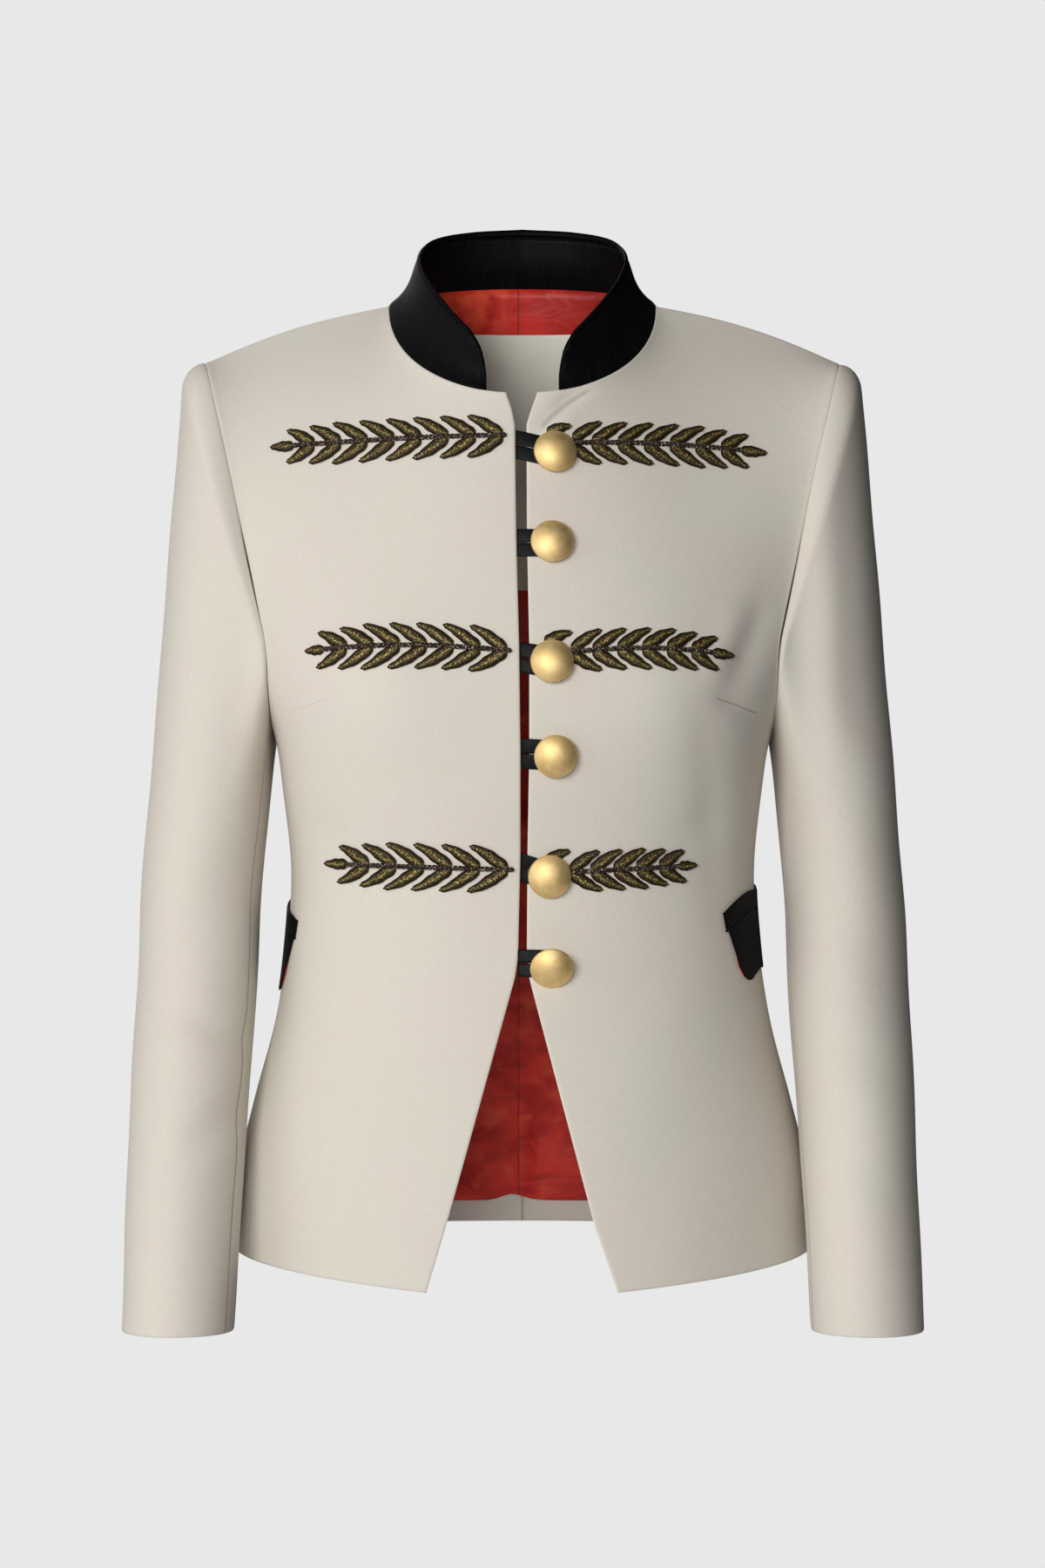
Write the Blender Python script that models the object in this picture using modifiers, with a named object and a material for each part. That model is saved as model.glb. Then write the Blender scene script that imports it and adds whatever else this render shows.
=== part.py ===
"""A fitted stand-collar jacket, hollow as it is when worn, modelled piece by piece as it is cut.

Metres, +Z up. The wearer faces -Y, so the wearer's left is +X. The origin is on the centre line,
level with the side of the neck, midway between front and back.
"""

import math

import bmesh
import bpy
from mathutils import Vector

# ---- driving sizes -----------------------------------------------------------
WALL = 0.002  # wool cloth with its canvas
GAP = 0.0003  # between a piece and what it lies on
SEAM_GAP = 0.0004  # between two pieces at a seam
LINING_WALL = 0.0008
LINING_EASE = 0.0008  # the lining hangs this far off the cloth
LINING_EDGE = 0.0028  # and stops this far short of the side seams
LEFT = 1
RIGHT = -1
SIDES = (("left", LEFT), ("right", RIGHT))

# Columns from the centre to the side, rows from the hem to the shoulder.
NECK_COLUMNS = 7
SHOULDER_COLUMNS = 5
HEM_ROWS = 11
SCYE_ROWS = 4
YOKE_ROWS = 7
COLUMNS = NECK_COLUMNS + SHOULDER_COLUMNS
ROWS = HEM_ROWS + SCYE_ROWS + YOKE_ROWS
NECK_SHARE = NECK_COLUMNS / COLUMNS

UNDERARM_Z = -0.265
CHEST_Z = -0.200
SIDE_HEM_Z = -0.579
FRONT_DROP = 0.021  # how much lower the hem is at the front points
SIDE_SEAM = 95.0  # degrees round the body from the centre front
FRONT_SCYE = 61.0
BACK_SCYE = 118.0

# Level, height, half width, front and back, and how square the section is (2 is an ellipse).
BODY = (
    ("chest", -0.2000, 0.1800, -0.1170, 0.106, 2.15),
    ("bust", -0.2325, 0.1680, -0.1235, 0.104, 2.40),
    ("underarm", -0.2650, 0.1540, -0.1240, 0.100, 2.60),
    ("midriff", -0.3000, 0.1480, -0.1180, 0.092, 2.50),
    ("waist", -0.3500, 0.1436, -0.1070, 0.080, 2.30),
    ("high hip", -0.4000, 0.1466, -0.1080, 0.085, 2.25),
    ("pocket", -0.4400, 0.1525, -0.1120, 0.097, 2.20),
    ("hip", -0.4900, 0.1660, -0.1170, 0.112, 2.10),
    ("low hip", -0.5400, 0.1765, -0.1210, 0.122, 2.05),
    ("hem", -0.6050, 0.1815, -0.1250, 0.129, 2.05),
)

# Height, then how far the wearer's right and left front edges stand from the centre line.
FRONT_EDGE = (
    (-0.0605, 0.0100, 0.0090),
    (-0.0700, 0.0065, 0.0055),
    (-0.0800, 0.0046, 0.0024),
    (-0.1500, 0.0037, 0.0027),
    (-0.2130, 0.0020, 0.0040),
    (-0.2790, 0.0012, 0.0040),
    (-0.3370, 0.0012, 0.0030),
    (-0.4000, 0.0026, 0.0026),
    (-0.4130, 0.0045, 0.0040),
    (-0.5600, 0.0455, 0.0430),
    (-0.6000, 0.0575, 0.0570),
)

NECK_HALF_WIDTH = 0.083
NECK_FRONT = Vector((0, -0.078, -0.0605))
NECK_BACK = Vector((0, 0.068, 0.016))
NECK_SIDE_Y = 0.005
NECK_POWER = 0.93
FRONT_CORNER = 0.010  # the fronts meet the centre this far out
COLLAR_START = 0.022  # the collar's ends stand this far from the centre
SHOULDER_POINT = Vector((0.197, 0.005, -0.036))
SHOULDER_BOW = 0.0045
EASING_PASSES = 12  # how far the yoke is smoothed between its seams

BUST_POINT = Vector((0.088, 0, -0.235))
BUST_RADIUS = 0.036
BUST_RISE = 0.005

# Angle round the neck from the front, then the collar's upper edge.
COLLAR_TOP = (
    (13.9, 0.0275, -0.0735, -0.0275),
    (40.0, 0.0475, -0.0520, -0.0040),
    (65.0, 0.0595, -0.0260, 0.0145),
    (90.0, 0.0640, 0.0020, 0.0310),
    (120.0, 0.0560, 0.0300, 0.0440),
    (150.0, 0.0330, 0.0470, 0.0505),
    (180.0, 0.0000, 0.0530, 0.0530),
)
COLLAR_ROWS = (0.0, 0.2, 0.45, 0.72, 1.0)
COLLAR_FLARE = 0.0040  # the collar's foot spreads on to the shoulder

# Height, centre across, centre forward, half width and half depth of a hanging sleeve.
SLEEVE = (
    (-0.3000, 0.1935, 0.0000, 0.0375, 0.0560),
    (-0.3600, 0.1980, -0.0060, 0.0370, 0.0545),
    (-0.4100, 0.2003, -0.0150, 0.0369, 0.0530),
    (-0.4600, 0.2022, -0.0280, 0.0369, 0.0510),
    (-0.5130, 0.2043, -0.0450, 0.0357, 0.0490),
    (-0.5830, 0.2068, -0.0650, 0.0344, 0.0460),
    (-0.6270, 0.2089, -0.0730, 0.0340, 0.0440),
)
CAP_STEPS = (0.0, 0.02, 0.06, 0.14, 0.28, 0.5, 0.75, 1.0)
CAP_ROLL = 0.013  # how far the sleeve head stands out over the shoulder
CAP_ROLL_STEP = 0.06
ARM_ROWS = 9

BUTTON_RADIUS = 0.013
BUTTON_SIDES = 16
# Button across and up, then the loop's height and its full width.
FASTENINGS = (
    (0.0193, -0.0980, -0.0925, 0.0177),
    (0.0176, -0.1527, -0.1526, 0.0166),
    (0.0176, -0.2246, -0.2216, 0.0184),
    (0.0197, -0.2800, -0.2789, 0.0180),
    (0.0161, -0.3520, -0.3468, 0.0172),
    (0.0172, -0.4053, -0.4040, 0.0164),
)
LOOP_WALL = 0.0012
LOOP_SLIT = 0.0016
SHANK_RADIUS = 0.0012

# Row, side, height at the stem's end and at the tip, stem's end and tip from the centre, pairs.
SPRAYS = (
    ("upper", RIGHT, -0.0870, -0.0930, 0.0110, 0.1500, 8),
    ("upper", LEFT, -0.0945, -0.0980, 0.0335, 0.1480, 7),
    ("middle", RIGHT, -0.2180, -0.2170, 0.0090, 0.1290, 7),
    ("middle", LEFT, -0.2175, -0.2180, 0.0325, 0.1270, 5),
    ("lower", RIGHT, -0.3480, -0.3450, 0.0070, 0.1185, 6),
    ("lower", LEFT, -0.3485, -0.3450, 0.0310, 0.1045, 5),
)
LEAF_LENGTH = 0.0205
LEAF_HALF_WIDTH = 0.0024
LEAF_ANGLE = 30.0
STEM_HALF_WIDTH = 0.0009
SPRAY_WALL = 0.0012
SPRAY_CLEARANCE = 0.0008

# Side, angle round the body where the flap starts, and the height of its top edge there.
POCKETS = (("left", LEFT, 56.0, -0.3850), ("right", RIGHT, 71.0, -0.3890))
FLAP_LENGTH = 0.095
FLAP_DEPTH = 0.037
WELT_DEPTH = 0.012
FLAP_ROUNDING = 0.010
FLAP_SLOPE = 10.0
FLAP_WALL = 0.0016
FLAP_CLEARANCE = 0.0009

NECK_PANEL_HALF_WIDTH = 0.055
NECK_PANEL_TOP = -0.012
NECK_PANEL_FOOT = -0.173
BACK_FACING = 0.0115  # cream hem left bare under the lining

CREAM = (0.66, 0.60, 0.52)
SATIN_BLACK = (0.008, 0.008, 0.009)
LINING_RED = (0.42, 0.022, 0.012)
PANEL_GREY = (0.42, 0.42, 0.37)
GOLD = (0.78, 0.52, 0.19)
BULLION = (0.23, 0.17, 0.06)


# ---- scene, materials ---------------------------------------------------------
def clear_scene():
    for obj in list(bpy.data.objects):
        bpy.data.objects.remove(obj, do_unlink=True)


def principled(name, colour, roughness, metallic=0.0):
    material = bpy.data.materials.new(name)
    material.use_nodes = True
    shader = material.node_tree.nodes["Principled BSDF"]
    shader.inputs["Base Color"].default_value = (*colour, 1)
    shader.inputs["Roughness"].default_value = roughness
    shader.inputs["Metallic"].default_value = metallic
    return material


# ---- reading the tables --------------------------------------------------------
def along(table, at, column, key=0):
    """A smooth value of one column, read where the key column equals `at`."""
    rows = sorted(table, key=lambda row: row[key])
    last = len(rows) - 2
    index = next((i for i in range(last) if at < rows[i + 1][key]), last)
    low, high = rows[index], rows[index + 1]
    before, after = rows[max(index - 1, 0)], rows[min(index + 2, last + 1)]
    span = high[key] - low[key]
    share = min(max((at - low[key]) / span, 0.0), 1.0)
    leave = (high[column] - before[column]) / (high[key] - before[key]) * span
    arrive = (after[column] - low[column]) / (after[key] - low[key]) * span
    return hermite(low[column], leave, high[column], arrive, share)


def straight(table, at, column):
    rows = sorted(table)
    if at <= rows[0][0]:
        return rows[0][column]
    for low, high in zip(rows, rows[1:]):
        if at <= high[0]:
            share = (at - low[0]) / (high[0] - low[0])
            return low[column] + (high[column] - low[column]) * share
    return rows[-1][column]


def hermite(start, leave, end, arrive, t):
    return (
        start * (2 * t**3 - 3 * t**2 + 1)
        + leave * (t**3 - 2 * t**2 + t)
        + end * (3 * t**2 - 2 * t**3)
        + arrive * (t**3 - t**2)
    )


def power(value, exponent):
    return math.copysign(abs(value) ** exponent, value)


def mirrored(point, side):
    return Vector((point.x * side, point.y, point.z))


# ---- the body's form -----------------------------------------------------------
def body_point(angle, z):
    """A point of the wearer's left half, by degrees round from the centre front."""
    half_width, front, back, square = (along(BODY, z, c, 1) for c in (2, 3, 4, 5))
    turn = math.radians(angle)
    x = half_width * power(math.sin(turn), 2 / square)
    depth = -front if angle <= 90 else back
    y = -depth * power(math.cos(turn), 2 / square)
    away = Vector((x - BUST_POINT.x, 0, z - BUST_POINT.z)).length / BUST_RADIUS
    if angle < 90:
        y -= BUST_RISE * math.exp(-(away**2))
    return Vector((x, y, z))


def edge_distance(side, z):
    return straight(FRONT_EDGE, z, 1 if side == RIGHT else 2)


def edge_angle(side, z):
    half_width, square = along(BODY, z, 2, 1), along(BODY, z, 5, 1)
    return math.degrees(math.asin((edge_distance(side, z) / half_width) ** (square / 2)))


def scye_turn(z):
    """0 on the side seam below the armhole, 1 where the armhole's edge stands upright."""
    rise = min(max((z - UNDERARM_Z) / (CHEST_Z - UNDERARM_Z), 0.0), 1.0)
    return math.sqrt(1 - (1 - rise) ** 2)


def row_height(row):
    """Level of a row up to the chest, before the hem's own slope."""
    if row <= HEM_ROWS:
        return SIDE_HEM_Z + (UNDERARM_Z - SIDE_HEM_Z) * row / HEM_ROWS
    share = min((row - HEM_ROWS) / SCYE_ROWS, 1.0)
    return UNDERARM_Z + (CHEST_Z - UNDERARM_Z) * (1 - math.cos(share * math.pi / 2))


def lower_front(side, u, row):
    level = row_height(row)
    slope = max((UNDERARM_Z - level) / (UNDERARM_Z - SIDE_HEM_Z), 0.0)
    z = level - FRONT_DROP * (1 - u) * slope**2
    start = edge_angle(side, z)
    end = SIDE_SEAM + (FRONT_SCYE - SIDE_SEAM) * scye_turn(level)
    return body_point(start + (end - start) * u, z)


def lower_back(u, row):
    level = row_height(row)
    end = SIDE_SEAM + (BACK_SCYE - SIDE_SEAM) * scye_turn(level)
    return body_point(180 + (end - 180) * u, level)


def neck_point(angle):
    """The seam where the collar is set in, by degrees round from the centre front."""
    turn = math.radians(angle)
    end = NECK_FRONT if angle <= 90 else NECK_BACK
    share = abs(power(math.cos(turn), NECK_POWER))
    x = NECK_HALF_WIDTH * power(math.sin(turn), NECK_POWER)
    return Vector((x, NECK_SIDE_Y + (end.y - NECK_SIDE_Y) * share, end.z * share))


def neck_angle(distance):
    return math.degrees(math.asin((distance / NECK_HALF_WIDTH) ** (1 / NECK_POWER)))


def front_neck_angle(column):
    """The first column is the front corner, the second the collar's end."""
    if column == 0:
        return neck_angle(FRONT_CORNER)
    start = neck_angle(COLLAR_START)
    return start + (90 - start) * (column - 1) / (NECK_COLUMNS - 1)


def shoulder_seam(share):
    start = neck_point(90)
    point = start.lerp(SHOULDER_POINT, share)
    point.z += SHOULDER_BOW * math.sin(math.pi * share)
    return point


def top_edge(front, u):
    """The neckline and then the shoulder seam, u from the centre to the armhole."""
    if u > NECK_SHARE:
        return shoulder_seam((u - NECK_SHARE) / (1 - NECK_SHARE))
    column = u * COLUMNS
    if not front:
        return neck_point(180 - 90 * column / NECK_COLUMNS)
    low = int(min(column, NECK_COLUMNS - 1))
    start, end = front_neck_angle(low), front_neck_angle(low + 1)
    return neck_point(start + (end - start) * (column - low))


def arrival(front, u):
    """The way the cloth runs as it reaches the neckline and the shoulder seam."""
    centre = Vector((0, 0.42, 0.91)) if front else Vector((0, -0.45, 0.89))
    way = 1 if front else -1
    neck = Vector((-0.55, 0.78 * way, 0.30))
    shoulder = Vector((0.10, 0.96 * way, 0.14))
    if u <= NECK_SHARE:
        return centre.lerp(neck, u / NECK_SHARE).normalized()
    return neck.lerp(shoulder, (u - NECK_SHARE) / (1 - NECK_SHARE)).normalized()


def body_surface(front, side, u, row):
    """A point on the front or back of one side, u across and rows up, fractions allowed."""
    lower = (lambda r: lower_front(side, u, r)) if front else (lambda r: lower_back(u, r))
    chest_row = HEM_ROWS + SCYE_ROWS
    if row <= chest_row:
        return mirrored(lower(row), side)
    start = lower(chest_row)
    end = top_edge(front, u)
    chord = (end - start).length
    below = lower(chest_row - 0.25)
    leave = (start - below).normalized() * chord * 0.9
    arrive = arrival(front, u) * chord * 0.9
    share = (row - chest_row) / YOKE_ROWS
    point = hermite(start, leave, end, arrive, share)
    if front and u < 0.25:
        edge = hermite(
            lower_front(side, 0, chest_row),
            Vector((0, 0, 1)) * chord * 0.9,
            top_edge(True, 0),
            arrival(True, 0) * chord * 0.9,
            share,
        )
        point.x += (edge_distance(side, point.z) - edge.x) * (1 - u / 0.25) ** 2
    return mirrored(point, side)


# ---- the sleeve's form ----------------------------------------------------------
def armhole(side):
    """Points of the armhole from the shoulder down the front to the underarm, and the back."""
    rows = range(ROWS, HEM_ROWS - 1, -1)
    front = [body_surface(True, side, 1, row) for row in rows]
    back = [body_surface(False, side, 1, row) for row in rows]
    return front, back


def turns(points):
    """Degrees round the sleeve for each point, by its distance down the armhole."""
    lengths = [0.0]
    for low, high in zip(points, points[1:]):
        lengths.append(lengths[-1] + (high - low).length)
    return [180 * length / lengths[-1] for length in lengths]


def sleeve_ring(angle, z):
    x, y, half_width, half_depth = (along(SLEEVE, z, c) for c in (1, 2, 3, 4))
    turn = math.radians(angle)
    return Vector((x + half_width * math.cos(turn), y - half_depth * math.sin(turn), z))


def sleeve_column(start, angle, side):
    """From the armhole down to the cuff. The angle is 0 outside, 90 in front, 180 inside."""
    first = sleeve_ring(angle, SLEEVE[0][0])
    start = mirrored(start, side)
    turn = math.radians(angle)
    outward = Vector((1 + math.cos(turn), -1.2 * math.sin(turn), 0))
    if outward.length > 1e-6:
        outward.normalize()
    roll = CAP_ROLL * math.cos(turn / 2) ** 2
    column = []
    for step in CAP_STEPS:
        begun = min(step / CAP_ROLL_STEP, 1.0)
        swell = (1 - step) * math.sqrt(1 - (1 - begun) ** 2)
        column.append(mirrored(start.lerp(first, step) + outward * roll * swell, side))
    top, cuff = SLEEVE[0][0], SLEEVE[-1][0]
    for row in range(1, ARM_ROWS + 1):
        point = sleeve_ring(angle, top + (cuff - top) * row / ARM_ROWS)
        column.append(mirrored(point, side))
    return column


def sleeve_columns(side):
    """Columns round the sleeve, from the shoulder by the front, the underarm and the back."""
    front, back = armhole(side)
    columns = [sleeve_column(p, a, side) for p, a in zip(front, turns(front))]
    behind = [sleeve_column(p, -a, side) for p, a in zip(back, turns(back))]
    return columns + behind[-2::-1]


# ---- cloth walls -----------------------------------------------------------------
def grid_normals(points):
    """The normal at each point of a grid, from the faces that meet there."""
    wide, high = len(points), len(points[0])
    normals = [[Vector() for _ in range(high)] for _ in range(wide)]
    for i in range(wide - 1):
        for j in range(high - 1):
            a, b = points[i][j], points[i + 1][j]
            c, d = points[i + 1][j + 1], points[i][j + 1]
            normal = (c - a).cross(d - b)
            for x, y in ((i, j), (i + 1, j), (i + 1, j + 1), (i, j + 1)):
                normals[x][y] += normal
    return [[normal.normalized() for normal in column] for column in normals]


class Cloth:
    """One cut piece as a grid of outer points, with the edges that are sewn to others."""

    def __init__(self, name, points, seams, flip=False):
        self.name = name
        self.points = points
        self.seams = seams
        self.normals = grid_normals(points)
        if flip:
            self.normals = [[-normal for normal in column] for column in self.normals]

    def edge(self, i, j):
        """For a point on a sewn edge, the steps along it and into the piece."""
        wide, high = len(self.points) - 1, len(self.points[0]) - 1
        borders = (("left", i == 0, 1, 0), ("right", i == wide, -1, 0))
        borders += (("foot", j == 0, 0, 1), ("top", j == high, 0, -1))
        for name, here, step_i, step_j in borders:
            if here and name in self.seams:
                inner = self.points[i + step_i][j + step_j]
                if step_i:
                    ends = self.points[i][max(j - 1, 0)], self.points[i][min(j + 1, high)]
                else:
                    ends = self.points[max(i - 1, 0)][j], self.points[min(i + 1, wide)][j]
                yield inner - self.points[i][j], (ends[1] - ends[0]).normalized()

    def at(self, u, v, out=0.0):
        """A point at fractions of the grid's columns and rows, moved out along the normal."""
        i = min(int(u), len(self.points) - 2)
        j = min(int(v), len(self.points[0]) - 2)
        s, t = u - i, v - j
        place, normal = Vector(), Vector()
        for di, dj, share in (
            (0, 0, (1 - s) * (1 - t)),
            (1, 0, s * (1 - t)),
            (0, 1, (1 - s) * t),
            (1, 1, s * t),
        ):
            place += self.points[i + di][j + dj] * share
            normal += self.normals[i + di][j + dj] * share
        return place + normal.normalized() * out

    def find(self, x, z):
        """The grid place seen from the front at x and z, by Newton steps from the nearest point."""
        wide, high = len(self.points) - 1, len(self.points[0]) - 1
        places = [(i, j) for i in range(wide + 1) for j in range(high + 1)]
        u, v = min(
            places,
            key=lambda ij: math.hypot(
                self.points[ij[0]][ij[1]].x - x, self.points[ij[0]][ij[1]].z - z
            ),
        )
        u, v = min(max(u, 0.1), wide - 0.1), min(max(v, 0.1), high - 0.1)
        small = 0.01
        for _ in range(12):
            here = self.at(u, v)
            by_u = (self.at(u + small, v) - here) / small
            by_v = (self.at(u, v + small) - here) / small
            dx, dz = x - here.x, z - here.z
            scale = by_u.x * by_v.z - by_u.z * by_v.x
            step_u = (dx * by_v.z - dz * by_v.x) / scale
            step_v = (by_u.x * dz - by_u.z * dx) / scale
            u = min(max(u + min(max(step_u, -0.5), 0.5), 0.0), wide - small * 1.5)
            v = min(max(v + min(max(step_v, -0.5), 0.5), 0.0), high - small * 1.5)
        return u, v

    def over(self, x, z, out):
        return self.at(*self.find(x, z), out)


def point_key(point):
    return tuple(round(value * 20000) for value in point)


def seam_normals(cloths):
    """The sum of the normals of every piece that meets at a point."""
    sums, uses = {}, {}
    for cloth in cloths:
        for points, normals in zip(cloth.points, cloth.normals):
            for point, normal in zip(points, normals):
                key = point_key(point)
                sums[key] = sums.get(key, Vector()) + normal
                uses[key] = uses.get(key, 0) + 1
    return {key: total.normalized() for key, total in sums.items() if uses[key] > 1}


def wall_points(cloth, shared):
    """The outer and inner grids of a piece, mitred and parted by the gap at its seams."""
    outer, inner = [], []
    for i, column in enumerate(cloth.points):
        outer.append([])
        inner.append([])
        for j, point in enumerate(column):
            own = cloth.normals[i][j]
            joint = shared.get(point_key(point), own)
            shift, inward = Vector(), own
            for into, tangent in cloth.edge(i, j):
                away = tangent.cross(joint)
                if away.length < 1e-6:
                    continue
                away.normalize()
                if away.dot(into.normalized() - own * 0.4) < 0:
                    away.negate()
                shift += away * SEAM_GAP / 2
                if joint.dot(into) < 0:
                    inward = joint / max(joint.dot(own), 0.7)
            outer[-1].append(point + shift)
            inner[-1].append(point + shift - inward * WALL)
    return outer, inner


def shell(name, outer, inner, material):
    """A closed wall between two grids of points: a plane grid, extruded and shaped."""
    wide, high = len(outer) - 1, len(outer[0]) - 1
    mesh = bmesh.new()
    bmesh.ops.create_grid(mesh, x_segments=wide, y_segments=high, size=0.5)
    bmesh.ops.triangulate(mesh, faces=mesh.faces[:], quad_method="FIXED")
    places = {}
    for vert in mesh.verts:
        i, j = round((vert.co.x + 0.5) * wide), round((vert.co.y + 0.5) * high)
        places[vert] = (i, j)
        vert.co.z = 0
    front = list(mesh.verts)
    made = bmesh.ops.extrude_face_region(mesh, geom=mesh.faces[:])
    behind = [item for item in made["geom"] if isinstance(item, bmesh.types.BMVert)]
    flat = {(round(vert.co.x, 6), round(vert.co.y, 6)): places[vert] for vert in front}
    for vert in behind:
        i, j = flat[(round(vert.co.x, 6), round(vert.co.y, 6))]
        vert.co = inner[i][j]
    for vert in front:
        i, j = places[vert]
        vert.co = outer[i][j]
    return finish(name, mesh, material)


def finish(name, mesh, material):
    bmesh.ops.recalc_face_normals(mesh, faces=mesh.faces[:])
    data = bpy.data.meshes.new(name)
    mesh.to_mesh(data)
    mesh.free()
    data.shade_smooth()
    data.set_sharp_from_angle(angle=math.radians(40))
    data.materials.append(material)
    obj = bpy.data.objects.new(name, data)
    JACKET.objects.link(obj)
    return obj


# ---- pieces ----------------------------------------------------------------------
def eased(points):
    """The yoke's inner points drawn towards their neighbours, its sewn edges kept."""
    for _ in range(EASING_PASSES):
        before = [list(column) for column in points]
        for i in range(COLUMNS):
            for j in range(HEM_ROWS + SCYE_ROWS + 1, ROWS):
                point, outer = before[i][j], before[i + 1][j]
                inner = Vector((2 * point.x - outer.x, outer.y, outer.z))
                if i:
                    inner = before[i - 1][j]
                middle = (outer + inner + before[i][j - 1] + before[i][j + 1]) / 4
                points[i][j] = point.lerp(middle, 0.5)
    return points


def body_panel(front, word, side):
    """One front or back, from the centre edge to the side seam and the armhole."""
    points = [
        [body_surface(front, side, i / COLUMNS, row) for row in range(ROWS + 1)]
        for i in range(COLUMNS + 1)
    ]
    points = eased(points)
    seams = ("right", "top") if front else ("left", "right", "top")
    flip = front != (side == LEFT)
    if not front and side == RIGHT:
        points.reverse()
        flip = not flip
    return Cloth(f"{'front' if front else 'back'}_{word}", points, seams, flip)


def sleeve_panels(word, side):
    """The top sleeve and the narrower under sleeve, as two pieces of one tube."""
    columns = sleeve_columns(side)
    front_seam = SCYE_ROWS + YOKE_ROWS - 1
    back_seam = front_seam + 3 + SCYE_ROWS
    under = columns[front_seam : back_seam + 1]
    top = columns[back_seam:] + columns[1 : front_seam + 1]
    seams = ("left", "right", "foot")
    flip = side == LEFT
    return (
        Cloth(f"sleeve_top_{word}", top, seams, flip=not flip),
        Cloth(f"sleeve_under_{word}", under, seams, flip=not flip),
    )


def collar_column(angle, side):
    foot = neck_point(angle)
    top = Vector([along(COLLAR_TOP, angle, c) for c in (1, 2, 3)])
    column = []
    across = Vector((foot.x, foot.y, 0)).normalized()
    for share in COLLAR_ROWS:
        flare = COLLAR_FLARE * 6.75 * share * (1 - share) ** 2
        column.append(mirrored(foot.lerp(top, share) - across * flare, side))
    return column


def collar():
    """A stand collar in one piece, from one front end round the back to the other."""
    angles = [front_neck_angle(column) for column in range(1, NECK_COLUMNS + 1)]
    angles += [90 + 90 * (i + 1) / NECK_COLUMNS for i in range(NECK_COLUMNS)]
    left = [collar_column(angle, LEFT) for angle in angles]
    right = [collar_column(angle, RIGHT) for angle in angles[:-1]]
    columns = right + left[::-1]
    for end, inner in ((0, 1), (-1, -2)):
        corner = columns[end][-1]
        columns[end][-1] = corner.lerp(columns[end][-2], 0.35).lerp(columns[inner][-1], 0.1)
    return Cloth("collar", columns, ("foot",), flip=False)


def lining(back_left, back_right):
    """The lining of the back, on the grids of both halves, clear of the hem."""
    cloth = list(zip(back_right.points, back_right.normals))
    cloth += list(zip(back_left.points, back_left.normals))[1:]
    share = BACK_FACING / ((UNDERARM_Z - SIDE_HEM_Z) / HEM_ROWS)
    outer, inner, normals = [], [], []
    for index, (points, facing) in enumerate(cloth):
        points = [points[0].lerp(points[1], share)] + list(points[1:])
        beside = {0: cloth[1][0], len(cloth) - 1: cloth[-2][0]}.get(index)
        outer.append([])
        inner.append([])
        for j, (point, normal) in enumerate(zip(points, facing)):
            away = Vector()
            if beside:
                away += (beside[j] - point).normalized() * LINING_EDGE
            if j == len(points) - 1:
                away += (points[j - 1] - point).normalized() * LINING_EDGE
            outer[-1].append(point + away - normal * (WALL + LINING_EASE))
            inner[-1].append(point + away - normal * (WALL + LINING_EASE + LINING_WALL))
        normals.append([-normal for normal in facing])
    shell("lining_back", outer, inner, RED_SATIN)
    face = Cloth("lining_face", inner, ())
    face.normals = normals
    return face


def neck_panel(face):
    """The plain panel sewn on the lining below the back of the neck."""
    across, down = 6, 6
    outer, inner = [], []
    for i in range(across + 1):
        x = NECK_PANEL_HALF_WIDTH * (2 * i / across - 1)
        heights = [
            NECK_PANEL_FOOT + (NECK_PANEL_TOP - NECK_PANEL_FOOT) * j / down
            for j in range(down + 1)
        ]
        outer.append([face.over(x, z, LINING_EASE + LINING_WALL) for z in heights])
        inner.append([face.over(x, z, LINING_EASE) for z in heights])
    shell("neck_panel", outer, inner, GREY_CLOTH)


def round_body(side, start, z, distance, out):
    """A point on the body after going a distance round it, from an angle, at one height."""
    angle, steps, small = start, 10, 0.05
    for _ in range(steps):
        rate = (body_point(angle + small, z) - body_point(angle, z)).length / small
        angle += distance / steps / rate
    here = body_point(angle, z)
    across = body_point(angle + 0.5, z) - body_point(angle - 0.5, z)
    rise = body_point(angle, z + 0.002) - body_point(angle, z - 0.002)
    return mirrored(here + across.cross(rise).normalized() * out, side)


def pocket(word, side, start, height):
    """A welt with a rounded flap below it, slanted up towards the back."""
    slope = math.radians(FLAP_SLOPE)

    def place(s, t, out):
        level = height + s * math.sin(slope) - t * math.cos(slope)
        return round_body(side, start, level, s * math.cos(slope) + t * math.sin(slope), out)

    def piece(name, stations, depth_at, rows, near, far):
        grids = []
        for out in (far, near):
            grid = []
            for s in stations:
                top, foot = depth_at(s)
                steps = [top + (foot - top) * j / rows for j in range(rows + 1)]
                grid.append([place(s, t, out) for t in steps])
            grids.append(grid)
        shell(f"{name}_{word}", grids[0], grids[1], BLACK_SATIN)

    def flap_depths(s):
        edge = min(s, FLAP_LENGTH - s)
        corner = max(FLAP_ROUNDING - edge, 0.0)
        foot = FLAP_DEPTH - FLAP_ROUNDING + math.sqrt(FLAP_ROUNDING**2 - corner**2)
        return GAP, foot

    ends = (0.0, 0.15, 0.45, 1.0)
    near_end = [FLAP_ROUNDING * share for share in ends]
    middle = [FLAP_LENGTH * share for share in (0.25, 0.4, 0.5, 0.6, 0.75)]
    far_end = [FLAP_LENGTH - s for s in near_end[::-1]]
    stations = near_end + middle + far_end
    near, far = FLAP_CLEARANCE, FLAP_CLEARANCE + FLAP_WALL
    piece("pocket_flap", stations, flap_depths, 3, near, far)
    piece("pocket_welt", stations, lambda s: (-WELT_DEPTH, 0.0), 1, near, far)


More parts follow.
